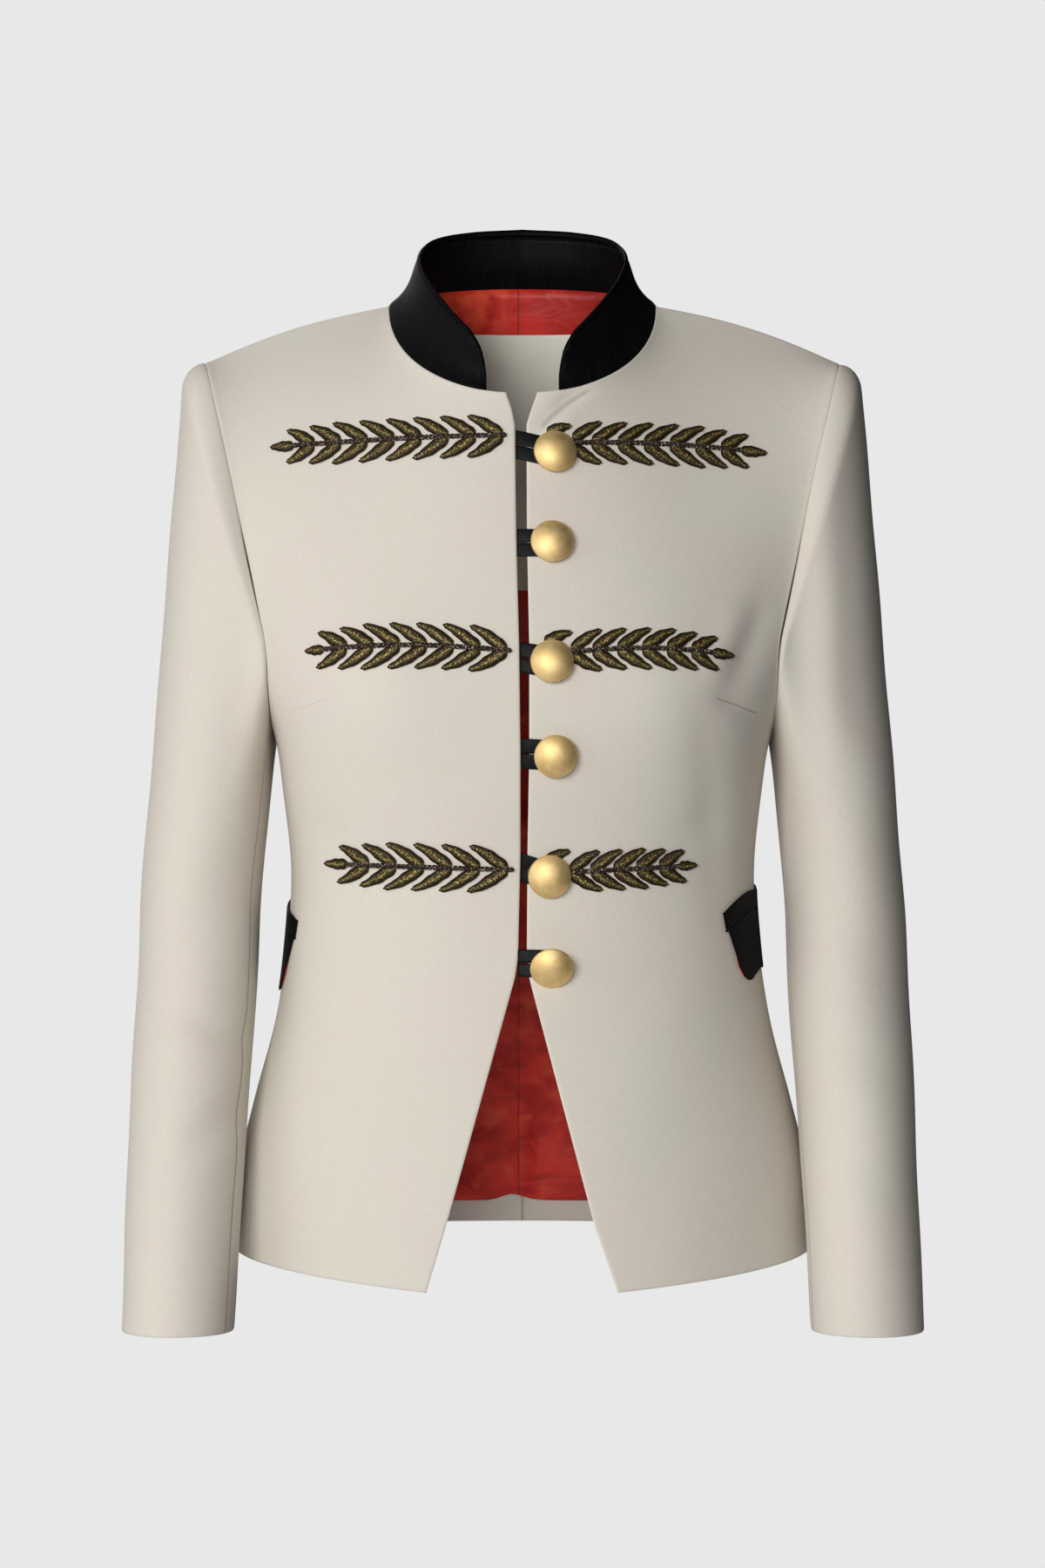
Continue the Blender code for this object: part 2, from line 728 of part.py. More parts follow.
def button(index, panel, x, z):
    """A domed metal button on a short shank, turned about its own axis."""
    foot, back, rim, dome = GAP, 0.0027, 0.0038, 0.0098
    profile = [(0.0, dome)]
    for step in range(1, 5):
        turn = math.radians(90 * step / 4)
        radius = BUTTON_RADIUS * math.sin(turn)
        profile.append((radius, rim + (dome - rim) * math.cos(turn)))
    profile += [(BUTTON_RADIUS * 0.94, back), (SHANK_RADIUS, back), (SHANK_RADIUS, foot)]
    profile.append((0.0, foot))
    data = bpy.data.meshes.new(f"button_{index}")
    edges = [(i, i + 1) for i in range(len(profile) - 1)]
    data.from_pydata([(r, 0, h) for r, h in profile], edges, [])
    data.materials.append(GOLD_METAL)
    obj = bpy.data.objects.new(f"button_{index}", data)
    JACKET.objects.link(obj)
    turning = obj.modifiers.new("turned", "SCREW")
    turning.steps = turning.render_steps = BUTTON_SIDES
    turning.use_merge_vertices = True
    turning.merge_threshold = 0.00002
    turning.use_smooth_shade = True
    u, v = panel.find(x, z)
    seat = panel.at(u, v)
    normal = (panel.at(u, v, 1) - seat).normalized()
    obj.rotation_mode = "QUATERNION"
    obj.rotation_quaternion = normal.to_track_quat("Z", "Y")
    obj.location = seat + normal * GAP
    return obj


def loop(index, panel, x, z, height, width):
    """A flat tape doubled into a loop: out of one front's edge, round the button's shank."""
    start = -edge_distance(RIGHT, height) + GAP
    edge = edge_distance(LEFT, height)
    on_panel = GAP + 0.0001

    def place(across, up, lift):
        """From the edge it leaves, level with the cloth, up on to the other front."""
        on = max(across, edge + 0.0006)
        point = panel.over(on, up, 0.0)
        point.x = across
        raised = min(max((across - start) / (edge - start - 0.0004), 0.0), 1.0)
        point.y -= lift + on_panel * raised - (LOOP_WALL + GAP) * (1 - raised)
        return point

    slope = (z - height) / (x - start)
    reach = width / 2
    slit = LOOP_SLIT / 2
    around = SHANK_RADIUS + 0.0008
    stations = [start, edge - 0.0004, (edge + x) / 2, x - 0.001]
    path = [(s, 1, slit if s < x - 0.002 else around) for s in stations]
    bends = [(x, turn, around) for turn in (60, 30, 0, -30, -60)]
    outline = []
    for across, sign, inside in path:
        outline.append(((across, inside), (across, reach)))
    for across, turn, inside in bends:
        way = (math.cos(math.radians(turn)), math.sin(math.radians(turn)))
        pair = tuple((across + r * way[0], r * way[1]) for r in (inside, reach))
        outline.append(pair)
    for across, sign, inside in path[::-1]:
        outline.append(((across, -inside), (across, -reach)))
    grids = []
    for lift in (LOOP_WALL, 0.0):
        grid = []
        for pair in outline:
            steps = (pair[0], pair[1])
            grid.append([place(a, height + slope * (a - start) + b, lift) for a, b in steps])
        grids.append(grid)
    shell(f"loop_{index}", grids[0], grids[1], BLACK_TAPE)


def leaf(base, way, length, half_width, half_base):
    """Five corners of a leaf that grows from its base along a direction."""
    across = Vector((-way.y, way.x))
    belly = base + way * length * 0.42
    return [
        base - across * half_base,
        belly - across * half_width,
        base + way * length,
        belly + across * half_width,
        base + across * half_base,
    ]


def spray_outline(pairs, length):
    """A laurel spray laid flat, its stem's end at 0 and its tip at `length`."""
    tip_leaf = 0.016
    stem = length - tip_leaf
    pitch = (stem - 0.004) / (pairs - 0.3)
    bases = [0.002 + pitch * i for i in range(pairs)]
    turn = math.radians(LEAF_ANGLE)
    sides = []
    for sign in (1, -1):
        edge = [Vector((0, sign * STEM_HALF_WIDTH))]
        for i, base in enumerate(bases):
            size = min(1.0, 0.62 + 0.19 * (pairs - 1 - i))
            way = Vector((math.cos(turn), sign * math.sin(turn)))
            root = Vector((base + 0.0015, sign * STEM_HALF_WIDTH * 1.2))
            corners = leaf(root, way, LEAF_LENGTH * size, LEAF_HALF_WIDTH * size, 0.0012)
            if sign > 0:
                corners = corners[::-1]
            edge += corners
        edge.append(Vector((stem, sign * STEM_HALF_WIDTH)))
        edge.append(Vector((stem + tip_leaf * 0.45, sign * LEAF_HALF_WIDTH * 0.8)))
        sides.append(edge)
    return sides[0] + [Vector((length, 0))] + sides[1][::-1]


def spray(row, word, side, panel, start_z, tip_z, start, tip, pairs):
    """A raised laurel spray laid on a front."""
    outline = spray_outline(pairs, tip - start)
    mesh = bmesh.new()
    face = mesh.faces.new([mesh.verts.new((p.x, p.y, 0)) for p in outline])
    bmesh.ops.triangulate(mesh, faces=[face], ngon_method="BEAUTY")
    front = list(mesh.verts)
    made = bmesh.ops.extrude_face_region(mesh, geom=mesh.faces[:])
    behind = [item for item in made["geom"] if isinstance(item, bmesh.types.BMVert)]
    for verts, out in ((front, SPRAY_CLEARANCE), (behind, SPRAY_CLEARANCE + SPRAY_WALL)):
        for vert in verts:
            share = vert.co.x / (tip - start)
            z = start_z + (tip_z - start_z) * share + vert.co.y
            vert.co = panel.over(side * (start + vert.co.x), z, out)
    finish(f"laurel_{row}_{word}", mesh, BULLION_THREAD)


def build():
    panels = {}
    for word, side in SIDES:
        for front in (True, False):
            panel = body_panel(front, word, side)
            panels[panel.name] = panel
        for sleeve in sleeve_panels(word, side):
            panels[sleeve.name] = sleeve
    panels["collar"] = collar()
    shared = seam_normals(panels.values())
    for name, cloth in panels.items():
        outer, inner = wall_points(cloth, shared)
        shell(name, outer, inner, BLACK_SATIN if name == "collar" else WOOL)
    face = lining(panels["back_left"], panels["back_right"])
    neck_panel(face)
    for word, side, start, height in POCKETS:
        pocket(word, side, start, height)
    for index, (x, z, height, width) in enumerate(FASTENINGS, 1):
        button(index, panels["front_left"], x, z)
        loop(index, panels["front_left"], x, z, height, width)
    for row, side, start_z, tip_z, start, tip, pairs in SPRAYS:
        word = "left" if side == LEFT else "right"
        spray(row, word, side, panels[f"front_{word}"], start_z, tip_z, start, tip, pairs)


clear_scene()
JACKET = bpy.data.collections.new("stand_collar_jacket")
bpy.context.scene.collection.children.link(JACKET)
WOOL = principled("cream_wool", CREAM, 0.85)
BLACK_SATIN = principled("black_satin", SATIN_BLACK, 0.40)
BLACK_TAPE = principled("black_tape", SATIN_BLACK, 0.60)
RED_SATIN = principled("red_satin", LINING_RED, 0.45)
GREY_CLOTH = principled("grey_cloth", PANEL_GREY, 0.70)
GOLD_METAL = principled("brushed_gold", GOLD, 0.35, 1.0)
BULLION_THREAD = principled("bullion_thread", BULLION, 0.50, 0.6)
build()
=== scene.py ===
"""A fitted stand-collar jacket in cream wool, filled out as it is when worn.

Metres, +Z up. The wearer faces -Y, so the wearer's left is +X, on the right of the picture.
The origin is on the centre line, level with the side of the neck.
"""

import math
from math import cos, pi, radians, sin, sqrt
import bmesh
import bpy
import numpy as np
from mathutils import Matrix, Vector
from mathutils.bvhtree import BVHTree


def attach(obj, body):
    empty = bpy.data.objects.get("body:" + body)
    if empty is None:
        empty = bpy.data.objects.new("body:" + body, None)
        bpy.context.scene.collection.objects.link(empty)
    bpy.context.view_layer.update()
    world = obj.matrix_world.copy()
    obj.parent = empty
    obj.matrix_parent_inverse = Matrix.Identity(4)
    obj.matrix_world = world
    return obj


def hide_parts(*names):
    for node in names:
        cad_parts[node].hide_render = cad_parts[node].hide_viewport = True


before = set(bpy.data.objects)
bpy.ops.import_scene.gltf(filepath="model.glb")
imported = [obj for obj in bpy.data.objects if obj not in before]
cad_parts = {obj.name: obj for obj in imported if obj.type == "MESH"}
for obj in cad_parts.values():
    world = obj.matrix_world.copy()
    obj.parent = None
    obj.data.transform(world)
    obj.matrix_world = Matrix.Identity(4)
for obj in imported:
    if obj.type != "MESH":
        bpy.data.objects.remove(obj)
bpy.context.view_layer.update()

# ---- Camera ----
# A long lens three metres off, level with the jacket's waist and straight on to its front.
# The picture's long side takes in 972 mm at the middle of the jacket's depth.
SENSOR, CAMERA_AWAY, CAMERA_Z, PICTURE_HEIGHT = 36.0, 3.0, -0.297, 0.972


def linked(name, data):
    """A new object in the scene."""
    obj = bpy.data.objects.new(name, data)
    bpy.context.scene.collection.objects.link(obj)
    return obj


camera_data = bpy.data.cameras.new("camera")
camera_data.sensor_width = SENSOR
camera_data.lens = SENSOR * CAMERA_AWAY / PICTURE_HEIGHT
camera = linked("camera", camera_data)
camera.location = (0, -CAMERA_AWAY, CAMERA_Z)
camera.rotation_euler = (radians(90), 0, 0)
bpy.context.scene.camera = camera

# ---- Fronts and backs ----
# Cream wool on canvas, 2 mm thick: two fronts, each with a bust dart from the side seam,
# and two backs, joined at the centre. The sewn edges are pressed in as fine grooves.
LEFT, RIGHT = 1, -1
SIDES = (("left", LEFT), ("right", RIGHT))
WALL = 0.002

# The grid of a front or back: columns from the centre to the armhole, rows from the hem up,
# and the finer steps that each is cut into.
NECK_COLUMNS, SHOULDER_COLUMNS = 7, 5
HEM_ROWS, SCYE_ROWS, YOKE_ROWS = 11, 4, 7
FINE = 6
COLUMNS = NECK_COLUMNS + SHOULDER_COLUMNS
CHEST_ROW = HEM_ROWS + SCYE_ROWS
ROWS = CHEST_ROW + YOKE_ROWS
NECK_SHARE = NECK_COLUMNS / COLUMNS
UNDERARM_Z, CHEST_Z, SIDE_HEM_Z = -0.265, -0.2, -0.579
FRONT_DROP = 0.021

# Degrees round the body from the centre front: the side seam, and the armhole at the chest.
SIDE_SEAM, FRONT_SCYE, BACK_SCYE = 95.0, 61.0, 118.0

# Height, half width, front and back, and how square the section is (2 is an ellipse).
BODY = (
    (-0.2, 0.18, -0.117, 0.106, 2.15),
    (-0.2325, 0.168, -0.1235, 0.104, 2.4),
    (-0.265, 0.154, -0.124, 0.1, 2.6),
    (-0.3, 0.148, -0.118, 0.092, 2.5),
    (-0.35, 0.1436, -0.107, 0.08, 2.3),
    (-0.4, 0.1466, -0.108, 0.085, 2.25),
    (-0.44, 0.1525, -0.112, 0.097, 2.2),
    (-0.49, 0.166, -0.117, 0.112, 2.1),
    (-0.54, 0.1765, -0.121, 0.122, 2.05),
    (-0.605, 0.1815, -0.125, 0.129, 2.05),
)

# Height, then how far the wearer's right and left front edges stand from the centre line.
FRONT_EDGE = (
    (-0.0605, 0.01, 0.009),
    (-0.07, 0.0065, 0.0055),
    (-0.08, 0.0046, 0.0024),
    (-0.15, 0.0037, 0.0027),
    (-0.213, 0.002, 0.004),
    (-0.279, 0.0012, 0.004),
    (-0.337, 0.0012, 0.003),
    (-0.4, 0.0026, 0.0026),
    (-0.413, 0.0045, 0.004),
    (-0.56, 0.0455, 0.043),
    (-0.6, 0.0575, 0.057),
)
NECK_HALF_WIDTH = 0.083
NECK_FRONT = Vector((0, -0.078, -0.0605))
NECK_BACK = Vector((0, 0.068, 0.016))
NECK_SIDE_Y = 0.005
NECK_POWER = 0.93
FRONT_CORNER = 0.01
COLLAR_START = 0.022
SHOULDER_POINT = Vector((0.197, 0.005, -0.036))
SHOULDER_BOW = 0.0045
BUST_POINT = Vector((0.088, 0, -0.235))
BUST_SWELL, BUST_REACH = 0.005, 0.036

# How far the cloth keeps its direction between two seams, as a share of the way, and how
# much of a front follows its front edge, before it is smoothed and after.
PULL = 0.9
EDGE_SHARE, SMOOTH_EDGE_SHARE = 0.25, 0.2


def between(value, low, high):
    """How far a value has come from `low` to `high`, kept from 0 to 1."""
    return min(max((value - low) / (high - low), 0.0), 1.0)


def along(table, at, column):
    """A smooth value of one column, read where the first column equals `at`."""
    rows = sorted(table)
    last = len(rows) - 2
    index = next((i for i in range(last) if at < rows[i + 1][0]), last)
    low, high = rows[index], rows[index + 1]
    before, after = rows[max(index - 1, 0)], rows[min(index + 2, last + 1)]
    span = high[0] - low[0]
    share = between(at, low[0], high[0])
    leave = (high[column] - before[column]) / (high[0] - before[0]) * span
    arrive = (after[column] - low[column]) / (after[0] - low[0]) * span
    return hermite(low[column], leave, high[column], arrive, share)


def hermite(start, leave, end, arrive, t):
    """A smooth way from `start` to `end`, with how it leaves and how it arrives."""
    return (
        start * (2 * t**3 - 3 * t**2 + 1)
        + leave * (t**3 - 2 * t**2 + t)
        + end * (3 * t**2 - 2 * t**3)
        + arrive * (t**3 - t**2)
    )


def power(value, exponent):
    """A power that keeps the value's sign."""
    return math.copysign(abs(value) ** exponent, value)


def body_point(angle, z):
    """A point of the wearer's left half, by degrees round from the centre front."""
    half_width, front, back, square = (along(BODY, z, c) for c in (1, 2, 3, 4))
    turn = radians(angle)
    x = half_width * power(sin(turn), 2 / square)
    depth = -front if angle <= 90 else back
    y = -depth * power(cos(turn), 2 / square)
    if angle < 90:
        away = math.hypot(x - BUST_POINT.x, z - BUST_POINT.z) / BUST_REACH
        y -= BUST_SWELL * math.exp(-(away**2))
    return Vector((x, y, z))


def edge_distance(side, z):
    """How far the front's edge stands from the centre line at one height."""
    heights, right, left = zip(*sorted(FRONT_EDGE))
    return float(np.interp(z, heights, right if side == RIGHT else left))


def edge_angle(side, z):
    """The same, in degrees round the body."""
    half_width, square = along(BODY, z, 1), along(BODY, z, 4)
    return math.degrees(math.asin((edge_distance(side, z) / half_width) ** (square / 2)))


def lower_point(front, side, u, row):
    """A point between the hem and the chest, u across from the centre and rows up."""
    if row <= HEM_ROWS:
        level = SIDE_HEM_Z + (UNDERARM_Z - SIDE_HEM_Z) * row / HEM_ROWS
    else:
        share = between(row, HEM_ROWS, CHEST_ROW)
        level = UNDERARM_Z + (CHEST_Z - UNDERARM_Z) * (1 - cos(share * pi / 2))
    scye = sqrt(1 - (1 - between(level, UNDERARM_Z, CHEST_Z)) ** 2)
    if not front:
        end = SIDE_SEAM + (BACK_SCYE - SIDE_SEAM) * scye
        return body_point(180 + (end - 180) * u, level)
    z = level - FRONT_DROP * (1 - u) * between(level, UNDERARM_Z, SIDE_HEM_Z) ** 2
    start = edge_angle(side, z)
    end = SIDE_SEAM + (FRONT_SCYE - SIDE_SEAM) * scye
    return body_point(start + (end - start) * u, z)


def neck_point(angle):
    """The seam where the collar is set in, by degrees round from the centre front."""
    turn = radians(angle)
    end = NECK_FRONT if angle <= 90 else NECK_BACK
    share = abs(power(cos(turn), NECK_POWER))
    x = NECK_HALF_WIDTH * power(sin(turn), NECK_POWER)
    return Vector((x, NECK_SIDE_Y + (end.y - NECK_SIDE_Y) * share, end.z * share))


def neck_angle(distance):
    return math.degrees(math.asin((distance / NECK_HALF_WIDTH) ** (1 / NECK_POWER)))


def front_neck_angle(column):
    """The first column is the front corner, the second the collar's end."""
    start = neck_angle(COLLAR_START)
    if column < 1:
        return neck_angle(FRONT_CORNER) * (1 - column) + start * column
    return start + (90 - start) * (column - 1) / (NECK_COLUMNS - 1)


def top_edge(front, u):
    """The neckline and then the shoulder seam, u from the centre to the armhole."""
    if u > NECK_SHARE:
        share = (u - NECK_SHARE) / (1 - NECK_SHARE)
        point = neck_point(90).lerp(SHOULDER_POINT, share)
        point.z += SHOULDER_BOW * sin(pi * share)
        return point
    column = u * COLUMNS
    if front:
        return neck_point(front_neck_angle(column))
    return neck_point(180 - 90 * column / NECK_COLUMNS)


def arrival(front, u):
    """The way the cloth runs as it reaches the neckline and the shoulder seam."""
    centre = Vector((0, 0.42, 0.91)) if front else Vector((0, -0.45, 0.89))
    way = 1 if front else -1
    neck = Vector((-0.55, 0.78 * way, 0.3))
    shoulder = Vector((0.1, 0.96 * way, 0.14))
    if u <= NECK_SHARE:
        return centre.lerp(neck, u / NECK_SHARE).normalized()
    return neck.lerp(shoulder, (u - NECK_SHARE) / (1 - NECK_SHARE)).normalized()


def body_surface(front, side, u, row):
    """A point of the whole front or back: the lower part, and above the chest the yoke."""
    if row <= CHEST_ROW:
        return lower_point(front, side, u, row)
    start, end = lower_point(front, side, u, CHEST_ROW), top_edge(front, u)
    pull = (end - start).length * PULL
    leave = (start - lower_point(front, side, u, CHEST_ROW - 0.25)).normalized() * pull
    share = (row - CHEST_ROW) / YOKE_ROWS
    point = hermite(start, leave, end, arrival(front, u) * pull, share)
    if front and u < EDGE_SHARE:
        start, end = lower_point(True, side, 0, CHEST_ROW), top_edge(True, 0)
        edge = hermite(start, Vector((0, 0, pull)), end, arrival(True, 0) * pull, share)
        point.x += (edge_distance(side, point.z) - edge.x) * (1 - u / EDGE_SHARE) ** 2
    return point


def body_grid(front, side):
    """One front or back on the wearer's left half, its yoke smoothed between the seams."""
    across = [i / (COLUMNS * FINE) for i in range(COLUMNS * FINE + 1)]
    up = [j / FINE for j in range(ROWS * FINE + 1)]
    points = np.array([[body_surface(front, side, u, row) for row in up] for u in across])
    low, high = CHEST_ROW * FINE + 1, ROWS * FINE
    for _ in range(12 * FINE**2):
        here, outer = points[:-1, low:high], points[1:, low:high]
        first = outer[:1] * (-1, 1, 1) + here[:1] * (2, 0, 0)
        inner = np.concatenate([first, points[:-2, low:high]])
        beside = points[:-1, low - 1 : high - 1] + points[:-1, low + 1 : high + 1]
        points[:-1, low:high] = here + ((outer + inner + beside) / 4 - here) * 0.5
    if front:
        for j in range(low, high):
            shift = edge_distance(side, points[0, j, 2]) - points[0, j, 0]
            near = np.clip(1 - np.array(across) / SMOOTH_EDGE_SHARE, 0, 1)
            points[:, j, 0] += shift * near**2
    return points


def unit(ways):
    """The same directions, each of length 1."""
    return ways / (np.linalg.norm(ways, axis=-1, keepdims=True) + 1e-12)


def facing(points, middle=(0, 0)):
    """The cloth's outer direction at each point of a grid, away from an upright line."""
    normals = unit(np.cross(np.gradient(points, axis=0), np.gradient(points, axis=1)))
    outward = points[..., :2] - middle
    return normals if (normals[..., :2] * outward).sum() > 0 else -normals


def edged(grid, profile, *sides):
    """Adds a profile's lines beside edges of a grid, which is its points and normals."""
    for side in sides:
        order = -1 if side in ("right", "top") else 1
        axes = (1, 0, 2) if side in ("foot", "top") else (0, 1, 2)
        points, ways = (part.transpose(axes)[::order] for part in grid)
        reach = np.linalg.norm(points[1] - points[0], axis=-1) + 1e-9
        new_points, new_ways = [], []
        for index, (inward, outward) in enumerate(profile):
            share = np.minimum(inward / reach, 0.95 * index / len(profile))[:, None]
            way = ways[0] * (1 - share) + ways[1] * share
            new_points.append(points[0] * (1 - share) + points[1] * share + way * outward)
            new_ways.append(way)
        grid = [
            np.concatenate([np.array(new), old[1:]])[::order].transpose(axes)
            for new, old in ((new_points, points), (new_ways, ways))
        ]
    return grid


# How far in from an edge, then how far out: a sewn edge and a turned one.
SEAM = ((0, -0.0004), (0.0003, -0.0002), (0.0008, 0.0), (0.002, 0.0001))
TURNED = ((0, -0.0006), (0.0005, -0.0002), (0.0013, 0.0), (0.0026, 0.0))


def press(points, normals, path, width, depth):
    """A soft trough along a line seen from the front, a ridge if the depth is below 0."""
    path = np.array(path)
    seen = points[..., [0, 2]]
    steps = np.linalg.norm(np.diff(path, axis=0), axis=1)
    nearest = np.full(seen.shape[:-1], np.inf)
    at = np.zeros(seen.shape[:-1])
    for index, (start, end) in enumerate(zip(path, path[1:])):
        line = end - start
        share = np.clip((seen - start) @ line / (line @ line), 0, 1)
        away = np.linalg.norm(seen - start - share[..., None] * line, axis=-1)
        place = (steps[:index].sum() + share * steps[index]) / steps.sum()
        at = np.where(away < nearest, place, at)
        nearest = np.minimum(nearest, away)
    fade = np.sin(np.pi * (at * 0.9 + 0.05)) ** 0.7
    turned = np.clip(-normals[..., 1] * 3, 0, 1)
    amount = depth * fade * turned * np.exp(-((nearest / width) ** 2))
    points -= normals * amount[..., None]


def ripple(points, normals, size):
    """Slow uneven waves, as cloth that hangs free of the body has."""
    x, y, z = (points[..., k] for k in range(3))
    wave = np.sin(41 * x + 17 * z + 1.0) * np.sin(23 * z - 19 * y + 0.4)
    wave += 0.6 * np.sin(-37 * x + 61 * z + 2.0) + 0.5 * np.sin(73 * x + 29 * y - 38 * z)
    points += normals * (wave * size)[..., None]


def made(name, mesh, *materials):
    """The object of a finished bmesh, smooth, in its materials."""
    data = bpy.data.meshes.new(name)
    mesh.to_mesh(data)
    mesh.free()
    data.shade_smooth()
    for material in materials:
        data.materials.append(material)
    return linked(name, data)


def unit_grid(mesh, wide, high):
    """A flat grid with its UV map, one unit across and up about its middle."""
    size = {"x_segments": wide, "y_segments": high, "size": 0.5}
    return bmesh.ops.create_grid(mesh, **size, calc_uvs=True)["verts"]


def sheet(
    node, word, grid, material, wall, flat, cut=None, bevel=0.0002, seam_shade=0
):
    """A piece of cloth in place of a CAD node, its wall on the inner side of its grid.

    `flat` is the size it was cut to, and `cut` its UV map's, if that is another.
    `seam_shade` is how much painted shade darkens the seams along its left and right edges,
    kept as an attribute.
    """
    points, normals = grid
    wide, high = points.shape[0] - 1, points.shape[1] - 1
    mesh = bmesh.new()
    mesh.loops.layers.uv.new("cut")
    unit_grid(mesh, wide, high)
    facings, darkness = {}, []
    for vert in mesh.verts:
        i, j = round((vert.co.x + 0.5) * wide), round((vert.co.y + 0.5) * high)
        vert.co = points[i, j]
        facings[vert] = Vector(normals[i, j])
        darkness.append(seam_shade if min(i, wide - i) < 3 else 0.0)
    mesh.normal_update()
    if sum(vert.normal.dot(way) for vert, way in facings.items()) < 0:
        bmesh.ops.reverse_faces(mesh, faces=mesh.faces[:])
    piece = made(f"{node}_{word}", mesh, material)
    data = piece.data
    places = np.empty(len(data.loops) * 2)
    data.uv_layers[0].uv.foreach_get("vector", places)
    places = (places.reshape(-1, 2) * (cut or flat)).ravel()
    data.uv_layers[0].uv.foreach_set("vector", places)
    if seam_shade:
        data.attributes.new("seam_shade", "FLOAT", "POINT").data.foreach_set("value", darkness)
    backed = piece.modifiers.new("wall", "SOLIDIFY")
    backed.thickness = wall
    backed.offset = -1
    if bevel:
        rounding = piece.modifiers.new("turned edges", "BEVEL")
        rounding.width = bevel
        rounding.segments = 2
        rounding.limit_method = "ANGLE"
        rounding.angle_limit = radians(60)
    placed(piece, node)
    return piece


def placed(piece, node):
    """Attaches the piece to the root and hides the CAD node that it stands for."""
    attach(piece, "root")
    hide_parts(node)


class Shade:
    """A value in a finish's shader, so that its maths can be written as expressions."""

    def __init__(self, tree, socket=None):
        self.tree = tree
        self.socket = socket

    def node(self, kind, inputs=None, output=0, **settings):
        new = self.tree.nodes.new(kind)
        for name, value in settings.items():
            setattr(new, name, value)
        for name, value in (inputs or {}).items():
            if isinstance(value, Shade):
                self.tree.links.new(value.socket, new.inputs[name])
            else:
                new.inputs[name].default_value = value
        return Shade(self.tree, new.outputs[output])

    def maths(self, operation, other=0.0):
        return self.node("ShaderNodeMath", {0: self, 1: other}, operation=operation)

    def size(self):
        return self.maths("ABSOLUTE")

    def __add__(self, other):
        return self.maths("ADD", other)

    def __sub__(self, other):
        return self.maths("SUBTRACT", other)

    def __rsub__(self, other):
        return self.node("ShaderNodeMath", {0: other, 1: self}, operation="SUBTRACT")

    def __mul__(self, other):
        return self.maths("MULTIPLY", other)

    __radd__ = __add__
    __rmul__ = __mul__

    def clamped(self, low, high):
        """0 at `low` and below, 1 at `high` and above, smooth between."""
        inputs = {"Value": self, "From Min": low, "From Max": high}
        return self.node("ShaderNodeMapRange", inputs, interpolation_type="SMOOTHSTEP")

    def noise(self, scale, detail=2.0, roughness=0.5, distortion=0.0):
        inputs = {"Vector": self, "Scale": scale, "Detail": detail}
        inputs |= {"Roughness": roughness, "Distortion": distortion}
        return self.node("ShaderNodeTexNoise", inputs)

    def stretched(self, *scale):
        return self.node("ShaderNodeVectorMath", {0: self, 1: scale}, operation="MULTIPLY")

    def part(self, axis):
        return self.node("ShaderNodeSeparateXYZ", {0: self}, output=axis)

    def blend(self, first, second):
        """From the first colour to the second, by this value."""
        inputs = {0: self}
        for index, colour in ((6, first), (7, second)):
            inputs[index] = colour if isinstance(colour, Shade) else (*colour, 1)
        return self.node("ShaderNodeMix", inputs, output=2, data_type="RGBA")

    def bump(self, distance, strength=1.0):
        inputs = {"Height": self, "Distance": distance, "Strength": strength}
        return self.node("ShaderNodeBump", inputs)

    def into(self, name):
        shader = self.tree.nodes["Principled BSDF"]
        self.tree.links.new(self.socket, shader.inputs[name])


def finish(name, **constants):
    """A new finish, with the places on the object and on the flat cut."""
    material = bpy.data.materials.new(name)
    material.use_nodes = True
    tree = material.node_tree
    for key, value in constants.items():
        tree.nodes["Principled BSDF"].inputs[key.replace("_", " ")].default_value = value
    start = Shade(tree)
    place = start.node("ShaderNodeTexCoord", output="Object")
    cut = start.node("ShaderNodeTexCoord", output="UV")
    return material, place, cut


def dress(colour, roughness, relief):
    """Gives the values to the shader that they belong to."""
    colour.into("Base Color")
    roughness.into("Roughness")
    relief.into("Normal")


# Where the dart's line and the fold at the neck corner have their middle, seen from the
# front, and the way they run. The dart is on both fronts, the fold on the left one. Both
# are painted into the wool's colour as dark lines of shade, and pressed in by its bump.
DART_MIDDLE, DART_WAY = (0.1292, -0.2498), (0.95, -0.3128)
FOLD_MIDDLE, FOLD_WAY = (0.0252, -0.0688), (0.779, 0.627)


def line_places(x, z, middle, way):
    """How far along a line from its middle, and how far off it."""
    x, z = x - middle[0], z - middle[1]
    return x * way[0] + z * way[1], z * way[0] - x * way[1]


wool, place, cut = finish(
    "cream_wool", Sheen_Weight=0.05, Sheen_Roughness=0.4, Specular_IOR_Level=0.2
)
mottle = place.noise(17.0)
fleck = place.noise(420.0, 2.0, 0.6)
across, forward, up = place.part(0), place.part(1).clamped(0.0, -0.02), place.part(2)
run, off = line_places(across.size(), up, DART_MIDDLE, DART_WAY)
off = off + (place.noise(110.0, 1.0) - 0.5) * 0.00152
# Painted shade along the dart's fold, stronger on the wearer's left front.
dart_shade = off.size().clamped(0.0007, 0.0002) * run.size().clamped(0.014, 0.0125)
dart_shade = dart_shade * forward * across.clamped(-0.02, 0.02).maths("MAXIMUM", 0.25)
run, off = line_places(across, up, FOLD_MIDDLE, FOLD_WAY)
off = off + run * run * 5.0
# Painted shade along the fold at the neck corner.
crease_shade = off.size().clamped(0.0025, 0.0) * run.size().clamped(0.0225, 0.014) * forward
hue = mottle.clamped(0.38, 0.62).blend((0.68, 0.605, 0.546), (0.65, 0.628, 0.548))
pale = fleck.clamped(0.2, 0.85).blend(hue, (0.69, 0.65, 0.584))
# Painted shade along the sleeve seams, read from the attribute that their sheets carry.
seam_shade = place.node("ShaderNodeAttribute", output="Fac", attribute_name="seam_shade")
